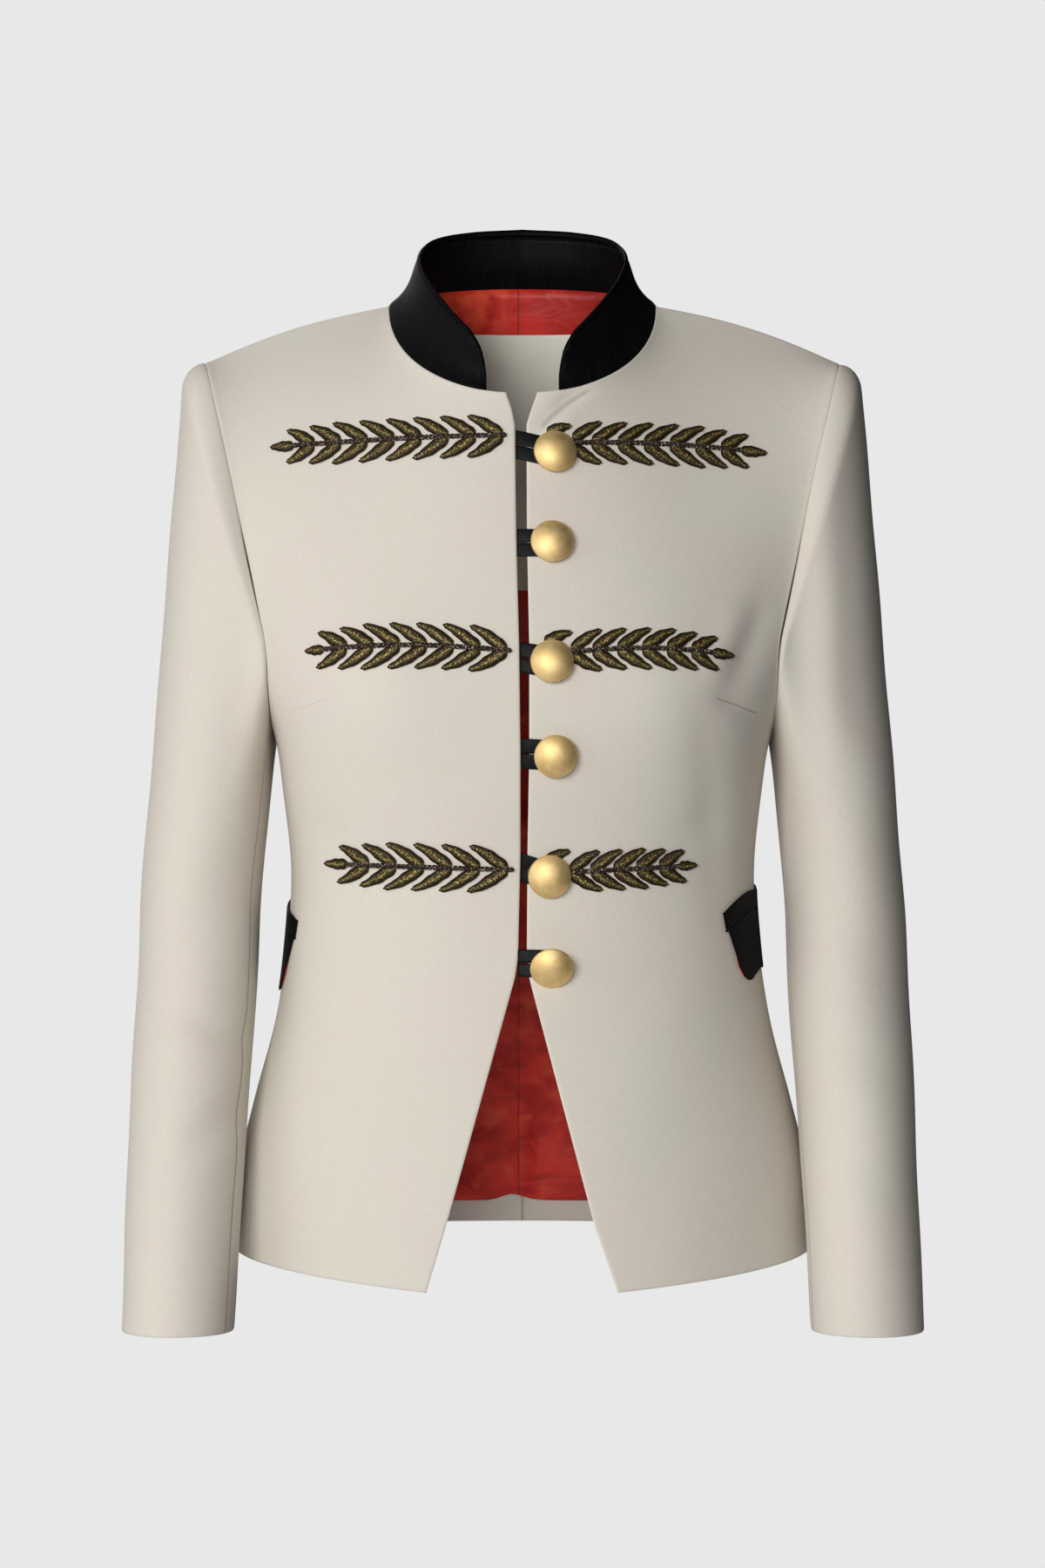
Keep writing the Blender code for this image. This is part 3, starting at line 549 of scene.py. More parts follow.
# Painted shade: the dart's fold, the fold at the neck corner and the sleeve seams darken
# the wool's colour.
colour = (dart_shade * 0.55 + crease_shade * 0.42 + seam_shade).blend(pale, (0.25, 0.2, 0.17))
twill = (cut.part(0) * 5200.0 + cut.part(1) * 3400.0).maths("SINE")
nap = fleck * 0.6 + place.noise(160.0) * 0.25 + twill * 0.05
nap = nap - dart_shade * 2.0 - crease_shade * 3.5
dress(colour, 0.82 + 0.1 * mottle, nap.bump(0.0003, 0.3))

# Creases seen from the front: the line, how wide it is, and how deep, or below 0 how high.
CREASES = {
    LEFT: (
        (((0.0378, -0.0592), (0.0284, -0.065), (0.0106, -0.0823)), 0.0052, 0.0034),
        (((0.034, -0.072), (0.023, -0.078), (0.013, -0.092)), 0.007, -0.0022),
        (((0.148, -0.185), (0.124, -0.244)), 0.01, 0.003),
        (((0.134, -0.19), (0.112, -0.236)), 0.011, -0.002),
        (((0.114, -0.244), (0.145, -0.255)), 0.006, 0.0012),
        (((0.108, -0.25), (0.114, -0.31), (0.118, -0.38)), 0.011, 0.0014),
        (((0.125, -0.305), (0.09, -0.338)), 0.012, 0.001),
    ),
    RIGHT: (
        (((-0.15, -0.215), (-0.133, -0.25)), 0.01, 0.0008),
        (((-0.13, -0.315), (-0.095, -0.342)), 0.012, 0.001),
    ),
}
fronts = {}
for word, side in SIDES:
    points = body_grid(True, side) * (side, 1, 1)
    normals = facing(points)
    ripple(points, normals, 0.0003)
    for path, width, depth in CREASES[side]:
        press(points, normals, path, width, depth)
    grid = edged((points, normals), SEAM, "right", "top")
    grid = edged(grid, TURNED, "left", "foot")
    size, area = (0.25, 0.545), 0.117
    fronts[side] = sheet(f"front_{word}", "cloth", grid, wool, WALL, size)

backs = {}
half_back = body_grid(False, RIGHT)
for word, side in SIDES:
    points = half_back * (side, 1, 1)
    normals = facing(points)
    backs[side] = points.copy(), normals.copy()
    ripple(points, normals, 0.0003)
    grid = edged((points, normals), SEAM, "left", "right", "top")
    grid = edged(grid, TURNED, "foot")
    sheet(f"back_{word}", "cloth", grid, wool, WALL, (0.245, 0.6))

# ---- Sleeves ----
# The same wool, a wide top sleeve and a narrow under sleeve, set into the armhole with a
# rounded head. They hang free, bent a little forward, with soft drapes.
# Height, centre across, centre forward, half width and half depth of a hanging sleeve.
SLEEVE = (
    (-0.3, 0.1935, 0.0, 0.0375, 0.056),
    (-0.36, 0.198, -0.006, 0.037, 0.0545),
    (-0.41, 0.2003, -0.015, 0.0369, 0.053),
    (-0.46, 0.2022, -0.028, 0.0369, 0.051),
    (-0.513, 0.2043, -0.045, 0.0357, 0.049),
    (-0.583, 0.2068, -0.065, 0.0344, 0.046),
    (-0.627, 0.2089, -0.073, 0.034, 0.044),
)
SLEEVE_MIDDLE = Vector((0.2, -0.02))
CAP_ROLL, CAP_ROLL_STEP, CAP_FORWARD = 0.013, 0.06, 1.2

# Rows of the cap and of the arm, how much closer the cap's rows are near the armhole, the
# rows that are smoothed where the two meet, and how many times.
CAP_ROWS, ARM_ROWS, CAP_CLOSER = 30, 60, 1.7
MEETING, PASSES = (24, 44), 60

# The seams: the back one's column, and the front ones' degrees round from the outside.
BACK_SEAM = (2 * SCYE_ROWS + YOKE_ROWS + 2) * FINE
FRONT_SEAM = {LEFT: 166, RIGHT: 151}
SLEEVE_SEAM = ((0, -0.0013), (0.0002, -0.0008), (0.0005, -0.0001), (0.0013, 0))
# How dark the painted shade along the sleeve seams is.
SEAM_SHADE = 0.6
SLEEVE_CREASES = {
    LEFT: (
        (((0.183, -0.085), (0.185, -0.19), (0.187, -0.3)), 0.012, -0.003),
        (((0.176, -0.23), (0.22, -0.31)), 0.014, -0.0012),
        (((0.17, -0.33), (0.225, -0.43)), 0.018, 0.0014),
        (((0.166, -0.46), (0.222, -0.49)), 0.014, -0.0014),
        (((0.175, -0.5), (0.235, -0.56)), 0.018, 0.0012),
    ),
    RIGHT: (
        (((0.182, -0.215), (0.215, -0.3)), 0.016, -0.0014),
        (((0.168, -0.34), (0.22, -0.41)), 0.018, 0.0012),
        (((0.164, -0.455), (0.214, -0.433)), 0.009, 0.003),
        (((0.166, -0.49), (0.208, -0.52)), 0.01, 0.0022),
        (((0.17, -0.53), (0.225, -0.51)), 0.016, -0.001),
    ),
}


def sleeve_ring(angle, z):
    """A point of the hanging sleeve. The angle is 0 outside, 90 in front, 180 inside."""
    x, y, half_width, half_depth = (along(SLEEVE, z, c) for c in (1, 2, 3, 4))
    turn = radians(angle)
    return Vector((x + half_width * cos(turn), y - half_depth * sin(turn), z))


def sleeve_column(start, angle):
    """From a point of the armhole, over the cap's rounded head, down to the cuff."""
    top, cuff = SLEEVE[0][0], SLEEVE[-1][0]
    first = sleeve_ring(angle, top)
    turn = radians(angle)
    outward = Vector((1 + cos(turn), -CAP_FORWARD * sin(turn), 0))
    if outward.length > 1e-6:
        outward.normalize()
    roll = CAP_ROLL * cos(turn / 2) ** 2
    column = []
    for step in [(k / CAP_ROWS) ** CAP_CLOSER for k in range(CAP_ROWS + 1)]:
        begun = min(step / CAP_ROLL_STEP, 1.0)
        swell = (1 - step) * sqrt(1 - (1 - begun) ** 2)
        column.append(start.lerp(first, step) + outward * roll * swell)
    downs = [top + (cuff - top) * row / ARM_ROWS for row in range(1, ARM_ROWS + 1)]
    return column + [sleeve_ring(angle, z) for z in downs]


def armhole_half(front):
    """The columns from shoulder to underarm, with their degrees round the sleeve."""
    rows = [ROWS - k / FINE for k in range((ROWS - HEM_ROWS) * FINE + 1)]
    points = [body_surface(front, RIGHT, 1, row) for row in rows]
    steps = [0.0] + [(b - a).length for a, b in zip(points, points[1:])]
    degrees = 180 * np.cumsum(steps) / sum(steps)
    return [sleeve_column(p, a if front else -a) for p, a in zip(points, degrees)], degrees


front_half, front_degrees = armhole_half(True)
sleeve = np.array(front_half + armhole_half(False)[0][-2::-1])
low, high = MEETING
for _ in range(PASSES):
    here = sleeve[:, low:high]
    middle = (sleeve[:, low - 1 : high - 1] + sleeve[:, low + 1 : high + 1]) / 2
    sleeve[:, low:high] = here + (middle - here) * 0.5
for word, side in SIDES:
    front_seam = int(np.searchsorted(front_degrees, FRONT_SEAM[side]))
    whole = sleeve * (side, 1, 1)
    middle = (SLEEVE_MIDDLE.x * side, SLEEVE_MIDDLE.y)
    normals = facing(np.concatenate([whole, whole[1:2]]), middle)[:-1]
    normals[0] = normals[-1] = (normals[0] + normals[-1]) / 2
    for path, width, depth in SLEEVE_CREASES[side]:
        press(whole, normals, [(x * side, z) for x, z in path], width, depth)
    ripple(whole, normals, 0.0005)
    top = [*range(BACK_SEAM, len(whole)), *range(1, front_seam + 1)]
    under = [*range(front_seam, BACK_SEAM + 1)]
    for name, columns, size, area in (
        ("sleeve_top", top, (0.205, 0.6), 0.0985),
        ("sleeve_under", under, (0.09, 0.42), 0.0345),
    ):
        grid = edged((whole[columns], normals[columns]), SLEEVE_SEAM, "left", "right")
        grid = edged(edged(grid, SEAM, "foot"), TURNED, "top")
        node = f"{name}_{word}"
        sheet(node, "cloth", grid, wool, WALL, size, seam_shade=SEAM_SHADE)

# ---- Collar ----
# A stand collar of near-black satin, sewn to the neckline, with a fine piped double edge
# along its top and its two front ends.
# Angle round the neck from the front, then the collar's upper edge.
COLLAR_TOP = (
    (13.9, 0.0275, -0.0735, -0.0275),
    (40.0, 0.0475, -0.052, -0.004),
    (65.0, 0.0595, -0.026, 0.0145),
    (90.0, 0.064, 0.002, 0.031),
    (120.0, 0.056, 0.03, 0.044),
    (150.0, 0.033, 0.047, 0.0505),
    (180.0, 0.0, 0.053, 0.053),
)
COLLAR_FLARE, COLLAR_CORNER = 0.004, 0.012

# Its lines lie close along the piped edge, and wider apart past the last of them.
CLOSE_LINES = [0.0004 * k for k in range(11)]

# How far in from the edge, and how far out: the turned edge, the piped cord, its groove.
PIPED = (
    (0, -0.0008),
    (0.0004, -0.0002),
    (0.0012, -0.0001),
    (0.0016, -0.0007),
    (0.002, 0.0005),
    (0.0024, 0.0005),
    (0.0028, -0.0008),
    (0.0036, 0.0),
)
black_satin, place, cut = finish("black_satin", Specular_IOR_Level=0.07)
grain = cut.stretched(900.0, 60.0, 1.0).noise(1.0)
cloud = place.noise(45.0)
black = grain.clamped(0.3, 0.8).blend((0.002, 0.002, 0.0024), (0.005, 0.0052, 0.006))
relief = (grain * 0.3 + cloud * 0.8).bump(0.0004, 0.3)
dress(black, 0.42 + 0.14 * cloud + 0.08 * grain, relief)


def collar_column(angle):
    """From foot to top, on the right side, with each point's distance to the edge."""
    foot = neck_point(angle)
    top = Vector([along(COLLAR_TOP, angle, c) for c in (1, 2, 3)])
    across = Vector((foot.x, foot.y, 0)).normalized()
    end = (foot - neck_point(neck_angle(COLLAR_START))).length
    height = (top - foot).length
    short = max(COLLAR_CORNER - end, 0.0)
    cut_off = COLLAR_CORNER - sqrt(COLLAR_CORNER**2 - short**2)
    column, edges = [], []
    reach = height - cut_off
    wider = [0.0044 + (reach - 0.0044) * (k / 9) for k in range(1, 10)]
    for down in CLOSE_LINES + wider:
        share = (reach - down) / height
        flare = COLLAR_FLARE * 6.75 * share * (1 - share) ** 2  # COLLAR_FLARE at a third up
        point = foot.lerp(top, share) - across * flare
        column.append((-point.x, point.y, point.z))
        over = COLLAR_CORNER - down - cut_off
        round_corner = COLLAR_CORNER - math.hypot(short, max(over, 0.0))
        edges.append(min(end, down + cut_off) if min(short, over) <= 0 else round_corner)
    return column[::-1], edges[::-1]


first = neck_angle(COLLAR_START)
rate = (neck_point(first + 6) - neck_point(first)).length / 6
angles = [first + end / rate for end in CLOSE_LINES + [0.0055, 0.007, 0.009, 0.011, 0.013]]
angles += [angles[-1] + (90 - angles[-1]) * k / 30 for k in range(1, 31)]
angles += [90 + 2.5 * k for k in range(1, 37)]
half, edges = (np.array(part) for part in zip(*map(collar_column, angles)))
points = np.concatenate([half, half[-2::-1] * (-1, 1, 1)])
edges = np.concatenate([edges, edges[-2::-1]])
normals = facing(points)
ripple(points, normals, 0.0002)
points += normals * np.interp(edges, *zip(*PIPED))[..., None]
grid = edged((points, normals), SEAM, "foot")
size, area = (0.42, 0.046), 0.0187
sheet("collar", "satin", grid, black_satin, WALL, size, bevel=0)

# ---- Lining and neck panel ----
# Red satin inside the backs, with a seam and an ease pleat at the centre, and below the
# neck a plain grey panel sewn on it. It stops above the hem, where the wool turning shows.
LINING_WALL, LINING_EASE, LINING_EDGE, BACK_FACING = 0.0008, 0.0008, 0.0028, 0.0115
PLEAT_DEPTH, PLEAT_TOP, TUCK, LINING_FOLDS = 0.003, -0.45, 0.0045, 0.0007
LINING_SEAM_X = -0.0026
red_satin, place, cut = finish("red_satin", Specular_IOR_Level=0.3)
fold = place.stretched(1.0, 1.0, 1.6).noise(34.0, 3.0, 0.55, 0.8)
soft = place.noise(60.0)
# Painted light and shade of the satin's folds: lighter red where the fold noise is high,
# darker where it is low.
deep = fold.clamped(0.35, 0.65).blend((0.46, 0.014, 0.01), (0.66, 0.03, 0.018))
at_neck = place.part(2).clamped(-0.1, -0.05)
# Painted shade inside the neck on the wearer's left; it also thins the painted highlight
# there.
neck_shade = place.part(0) * at_neck
deep = neck_shade.clamped(0.0, 0.05).blend(deep, (0.3, 0.01, 0.008))
seam = (place.part(0) - LINING_SEAM_X).size().clamped(0.0008, 0.0003) * 0.55
deep = seam.blend(deep, (0.1, 0.004, 0.004))
# Painted highlight: lighter orange-red patches over the lining, fewer inside the neck on
# the wearer's left.
painted_highlight = (soft - neck_shade * 5.0).clamped(0.5, 0.8)
red = painted_highlight.blend(deep, (0.74, 0.075, 0.035))
dress(red, 0.36 + 0.2 * fold, (fold * 2.0 + soft * 0.5).bump(0.0014, 0.5))

halves = zip(backs[RIGHT], backs[LEFT])
points, normals = (np.concatenate([right[::-1], left[1:]]) for right, left in halves)
keep = int(BACK_FACING / ((UNDERARM_Z - SIDE_HEM_Z) / HEM_ROWS) * FINE) + 1
points, normals = points[:, keep:].copy(), normals[:, keep:].copy()
for end, inner in ((0, 1), (-1, -2)):
    points[end] += unit(points[inner] - points[end]) * LINING_EDGE
neckline = abs(points[:, -1, 0]) < NECK_HALF_WIDTH - 0.004
short = np.where(neckline, -0.001, LINING_EDGE)[:, None]
points[:, -1] += unit(points[:, -2] - points[:, -1]) * short
x, z = points[..., 0], points[..., 2]
pleat = np.exp(-((x / 0.006) ** 2)) * np.clip((PLEAT_TOP - z) * 12, 0, 1) * PLEAT_DEPTH
points[:, 0, 2] += TUCK * np.exp(-(((x[:, 0] + 0.006) / 0.01) ** 2))
crumple = np.sin(95 * x + 40 * z) * np.sin(70 * z - 33 * x + 1.3)
crumple += 0.7 * np.sin(150 * z + 60 * x) + 1.7
slack = np.clip((0.17 - abs(x)) * 12, 0, 1) * np.clip((0.0 - z) * 20 + 0.3, 0, 1)
inward = WALL + LINING_EASE + pleat + LINING_FOLDS * slack * crumple
points -= normals * inward[..., None]
grid, size = (points, normals), (0.44, 0.585)
lining = sheet(
    "lining_back", "satin", grid, red_satin, LINING_WALL, size, bevel=0
)

grey_cloth, place, cut = finish("grey_cloth", Specular_IOR_Level=0.25, Sheen_Weight=0.1)
shadow = place.noise(30.0, 3.0)
thread = cut.stretched(1400.0, 1400.0, 1.0).noise(1.0)
grey = shadow.clamped(0.3, 0.7).blend((0.72, 0.72, 0.63), (0.8, 0.8, 0.7))
dress(grey, 0.62 + 0.1 * shadow, (thread * 0.4 + shadow * 1.2).bump(0.0006, 0.4))

PANEL_HALF_WIDTH, PANEL_FOOT, PANEL_HEIGHT, PANEL_OUT = 0.055, -0.173, 0.161, 0.0011
INSIDE_COLLAR_Y = -0.03


def tree_of(obj):
    """The piece's surface for laying others on, as it is with its modifiers."""
    return BVHTree.FromObject(obj, bpy.context.evaluated_depsgraph_get())


def lying(tree, x, z, out, start=-1.0):
    """The place in front of a surface at x and z, raised off it, and the way it faces."""
    hit, way, _, _ = tree.ray_cast(Vector((x, start, z)), Vector((0, 1, 0)))
    if hit is None:
        raise ValueError(f"nothing to lie on at {x:.4f}, {z:.4f}")
    way = way if way.y < 0 else -way
    return hit + way * out, way


def panel_place(i, j):
    """A point of the panel's grid on the lining, looked for from inside the neck."""
    x, z = PANEL_HALF_WIDTH * (i / 20 - 1), PANEL_FOOT + PANEL_HEIGHT * j / 60
    return lying(lining_tree, x, z, PANEL_OUT, INSIDE_COLLAR_Y)


lining_tree = tree_of(lining)
grid = [[panel_place(i, j) for j in range(61)] for i in range(41)]
points, normals = np.array(grid).transpose(2, 0, 1, 3)
for _ in range(8):
    points[1:-1, 1:-1] = (
        points[:-2, 1:-1] + points[2:, 1:-1] + points[1:-1, :-2] + points[1:-1, 2:]
    ) / 4
grid = edged((points, normals), TURNED, "left", "right", "foot", "top")
sheet("neck_panel", "cloth", grid, grey_cloth, 0.0006, (0.11, 0.161), bevel=0)

# ---- Pockets ----
# Black satin welts and flaps, slanted up towards the side seams, with rounded corners. Each
# flap is lined in red satin, which shows as a fine line along its front edge.
FLAP_LENGTH, FLAP_DEPTH, WELT_DEPTH, FLAP_ROUNDING = 0.095, 0.037, 0.012, 0.014
FLAP_SLOPE = radians(10.0)
SATIN_OUT, LINING_OUT, LINING_INSET = 0.0016, 0.0008, 0.002

# The upper line bows up over its first stretch, and dips where it starts.
BOW_REACH, DIP, DIP_REACH = 0.06, 0.0022, 0.01

# Side, degrees round the body to its front end, height there, how far it bows up, and how
# far the flap's front edge leans back.
POCKETS = (
    ("left", LEFT, 56.0, -0.385, 0.0052, 0.008),
    ("right", RIGHT, 71.0, -0.39, 0.0, 0.013),
)


def round_body(start, z, distance):
    """The body's point a distance round it from an angle, and the way out there."""
    angle, small, steps = start, 0.05, 8
    for _ in range(steps):
        rate = (body_point(angle + small, z) - body_point(angle, z)).length / small
        angle += distance / steps / rate
    across = body_point(angle + 0.5, z) - body_point(angle - 0.5, z)
    rise = body_point(angle, z + 0.002) - body_point(angle, z - 0.002)
    return body_point(angle, z), across.cross(rise).normalized()


def pocket_grid(side, start, height, bow, depths, wide, high, lean=0.0, inset=0.0):
    """A slanted strip on the body, `depths` giving its upper and lower edge along it."""

    def place(i, j):
        top, foot = depths(FLAP_LENGTH * i / wide)
        s = inset + (FLAP_LENGTH - 2 * inset) * i / wide
        t = foot + (top - foot) * j / high
        rise = bow * sin(pi * min(s / BOW_REACH, 1.0))
        rise -= DIP * math.exp(-s / DIP_REACH)
        z = height + rise + s * sin(FLAP_SLOPE) - t * cos(FLAP_SLOPE)
        run = s * cos(FLAP_SLOPE) + t * sin(FLAP_SLOPE)
        run += lean * (1 - s / FLAP_LENGTH) * max(t, 0.0) / FLAP_DEPTH
        return round_body(start, z, run)

    grid = [[place(i, j) for j in range(high + 1)] for i in range(wide + 1)]
    return np.array(grid).transpose(2, 0, 1, 3) * (side, 1, 1)


def flap_depths(s):
    """The flap's upper and lower edge, its lower corners rounded."""
    corner = max(FLAP_ROUNDING - min(s, FLAP_LENGTH - s), 0.0)
    return 0.0004, FLAP_DEPTH - FLAP_ROUNDING + sqrt(FLAP_ROUNDING**2 - corner**2)


for word, side, start, height, bow, lean in POCKETS:
    spot = side, start, height, bow
    points, normals = pocket_grid(*spot, flap_depths, 40, 12, lean, LINING_INSET)
    backing = points + normals * LINING_OUT
    backing[:, 0] += (backing[:, 1] - backing[:, 0]) * 0.3
    backing[:, 9:] = backing[:, 8:9]
    for row in range(1, 9):
        backing[0, row] += (backing[1, row] - backing[0, row]) * 0.12 * (row - 1)
    flap, flat = f"pocket_flap_{word}", (0.095, 0.037)
    grid = edged((points + normals * SATIN_OUT, normals), TURNED, "left", "right", "foot")
    sheet(flap, "satin", grid, black_satin, 0.0009, flat)
    grid, flat = (backing, normals), (0.09, 0.028)
    sheet(flap, "lining", grid, red_satin, 0.0005, flat, bevel=0)
    points, normals = pocket_grid(*spot, lambda s: (-WELT_DEPTH, 0.0), 40, 6)
    grid = points + normals * SATIN_OUT, normals
    grid = edged(grid, TURNED, "left", "right", "foot", "top")
    welt, flat = f"pocket_welt_{word}", (0.095, 0.012)
    sheet(welt, "satin", grid, black_satin, 0.0013, flat)

# ---- Laurels ----
# Three rows of laurel sprays, cut out and sewn on: padded leaves filled with gold thread, a
# dark corded outline round each leaf, and a stem of two cords twisted together.
# Row, side, height at the stem's end and at the tip, how far it bows up, and leaf length.
# Then from the centre: the stem's end, the first and last pair of leaves, how many pairs,
# the leaf at the end, and its tip.
SPRAYS = (
    ("upper", RIGHT, -0.0872, -0.0918, 0.0008, 0.0228,
     0.0105, 0.0119, 0.127, 8, 0.1395, 0.1535),
    ("upper", LEFT, -0.0918, -0.0955, 0.002, 0.0228,
     0.03, 0.0259, 0.1208, 7, 0.133, 0.1485),
    ("middle", RIGHT, -0.2178, -0.2172, 0.003, 0.0242,
     0.0075, 0.0093, 0.1052, 7, 0.119, 0.13),
    ("middle", LEFT, -0.2185, -0.22, 0.003, 0.0215,
     0.029, 0.027, 0.1011, 6, 0.1135, 0.1262),
    ("lower", RIGHT, -0.348, -0.345, 0.0, 0.0252,
     0.006, 0.0089, 0.0925, 6, 0.1055, 0.1192),
    ("lower", LEFT, -0.3495, -0.3458, 0.0, 0.0212,
     0.0285, 0.0271, 0.0823, 5, 0.094, 0.1045),
)
LEAF_HALF_WIDTH, LEAF_DEGREES = 0.0033, 31
OUTLINE_RADIUS, KNOT_RADIUS, STEM_END_RADIUS = 0.00048, 0.0006, 0.0012
STRAND_RADIUS, STRAND_APART, STRAND_PITCH = 0.0009, 0.0008, 0.0052

gold_thread, place, cut = finish("gold_thread", Specular_IOR_Level=0.4, Metallic=0.3)
speck = place.noise(1300.0, 2.0, 0.7)
stitch = cut.stretched(30.0, 4.0, 1.0).noise(1.0, 1.0)
# Painted highlight along each padded leaf's middle, fading to painted shade at its edges.
centre = 1 - ((cut.part(1) - 0.5) * 2).size()
lit = (centre * 0.22 + speck * 0.9 + stitch * 0.5).clamped(0.84, 1.1)
gold = lit.blend((0.03, 0.018, 0.003), (0.62, 0.46, 0.15))
dress(gold, 0.6 - 0.2 * lit, (speck + stitch).bump(0.0005, 0.6))


def cord_finish(name, specular, scale, low, high, dark, light):
    """Twisted thread in its dark colour, with light specks painted on as highlights where
    its strands catch the light.
    """
    cord, place, _ = finish(name, Specular_IOR_Level=specular)
    strand_glint = place.noise(scale, 2.0, 0.6)
    colour = strand_glint.clamped(low, high).blend(dark, light)
    dress(colour, 0.5 + 0.2 * strand_glint, strand_glint.bump(0.0003, 0.5))
    return cord


dark_cord = cord_finish(
    "dark_cord", 0.2, 1100.0, 0.58, 0.82, (0.016, 0.007, 0.003), (0.32, 0.22, 0.15)
)
twisted_cord = cord_finish(
    "twisted_cord", 0.25, 900.0, 0.54, 0.74, (0.018, 0.009, 0.005), (0.55, 0.44, 0.36)
)


def cords(mesh, paths, radius, sides, closed, index):
    """Round cords along paths, added to the piece's mesh."""
    curve = bpy.data.curves.new("cord", "CURVE")
    curve.dimensions = "3D"
    curve.bevel_depth = radius
    curve.bevel_resolution = sides
    curve.use_fill_caps = True
    for path in paths:
        spline = curve.splines.new("POLY")
        spline.points.add(len(path) - 1)
        for point, at in zip(spline.points, path):
            point.co = (*at, 1)
        spline.use_cyclic_u = closed
    holder = linked("cord", curve)
    graph = bpy.context.evaluated_depsgraph_get()
    data = bpy.data.meshes.new_from_object(holder.evaluated_get(graph))
    before = len(mesh.faces)
    mesh.from_mesh(data)
    mesh.faces.ensure_lookup_table()
    for face in mesh.faces[before:]:
        face.material_index = index
        face.smooth = True
    bpy.data.objects.remove(holder)
    bpy.data.meshes.remove(data)
    bpy.data.curves.remove(curve)


def leaf_width(s):
    """The share of its full width that a leaf has along it: blunt at the tip."""
    base = sqrt(1 - (1 - between(s, 0.0, 0.22)) ** 2)
    narrowing = between(s, 0.45, 0.95)
    tip = sqrt(1 - between(s, 0.9, 1.0) ** 2)
    return base * (1 - 0.55 * narrowing**2 * (3 - 2 * narrowing)) * tip


def leaf(mesh, base, angle, length, half_width, lay):
    """One padded leaf in a slight S, and the path of the cord round it."""
    wide, high = 18, 6
    way = math.copysign(1, angle) if angle else 0
    midline, headings = [base], []
    for k in range(wide + 1):
        s = k / wide
        heading = angle + way * (0.16 - 0.46 * s**2 - 0.3 * (1 - s) ** 5)
        headings.append(heading)
        x, y = midline[-1]
        step = length / wide
        midline.append((x + step * cos(heading), y + step * sin(heading)))

    def at(s, t):
        k = min(round(s * wide), wide)
        x, y = midline[k]
        wave = 0.00016 * sin(19 * s + 900 * base[0] + 2 * t)
        off = (half_width + wave) * leaf_width(s) * t
        return x - off * sin(headings[k]), y + off * cos(headings[k])

    verts = unit_grid(mesh, wide, high)
    places = {vert: (vert.co.x + 0.5, vert.co.y * 2) for vert in verts}
    faces = list(dict.fromkeys(face for vert in verts for face in vert.link_faces))
    below = bmesh.ops.extrude_face_region(mesh, geom=faces, use_keep_orig=True)["geom"]
    for item in below:
        if isinstance(item, bmesh.types.BMVert):
            item.co = lay(*at(item.co.x + 0.5, item.co.y * 1.6), 0.0002)
    for vert, (s, t) in places.items():
        crown = sqrt(max(1 - t * t, 0.0)) * min(leaf_width(s) * 1.2, 1.0)
        vert.co = lay(*at(s, t * 0.94), 0.0008 + 0.0011 * crown)
    shares = [k / wide for k in range(wide + 1)]
    rim = [(s, 1) for s in shares] + [(s, -1) for s in shares[-2:0:-1]]
    return [lay(*at(s, t), 0.0008) for s, t in rim], lay(*at(1.0, 0), 0.0012)


def spray(name, node, side, stem, leaves, reach):
    """A stem with its leaves, laid on a front. Leaves are (along, up, length, degrees)."""
    start_x, start_z, end_x, end_z, bow = stem
    slope = math.atan2(end_z - start_z, end_x - start_x)

    def lay(along_stem, up, out):
        up += bow * sin(pi * between(along_stem, 0.0, end_x - start_x))
        x = start_x + along_stem * cos(slope) - up * sin(slope)
        z = start_z + along_stem * sin(slope) + up * cos(slope)
        return lying(front_trees[side], side * x, z, out)[0]

    mesh = bmesh.new()
    mesh.loops.layers.uv.new("UVMap")
    outlines, knots = [], []
    for distance, up, length, degrees in leaves:
        half_width = LEAF_HALF_WIDTH * min(length / 0.018, 1.0) ** 0.5
        outline, knot = leaf(
            mesh, (distance, up), radians(degrees), length, half_width, lay
        )
        outlines.append(outline)
        knots.append(knot)
    cords(mesh, outlines, OUTLINE_RADIUS, 1, True, 1)
    strands, steps = [], int(reach / STRAND_PITCH * 8)
    for phase in (0, pi):
        path = []
        for k in range(steps + 1):
            turn = 2 * pi * reach * k / steps / STRAND_PITCH + phase
            out = 0.0014 + 0.0004 * sin(turn)
            path.append(lay(reach * k / steps, STRAND_APART * cos(turn), out))
        strands.append(path)
    cords(mesh, strands, STRAND_RADIUS, 2, False, 2)
    spots = [(knot, KNOT_RADIUS) for knot in knots] + [(lay(0, 0, 0.0014), STEM_END_RADIUS)]
    for spot, radius in spots:
        bmesh.ops.create_icosphere(
            mesh, subdivisions=2, radius=radius, matrix=Matrix.Translation(spot)
        )
    bmesh.ops.recalc_face_normals(mesh, faces=mesh.faces[:])
    piece = made(name, mesh, gold_thread, dark_cord, twisted_cord)
    placed(piece, node)


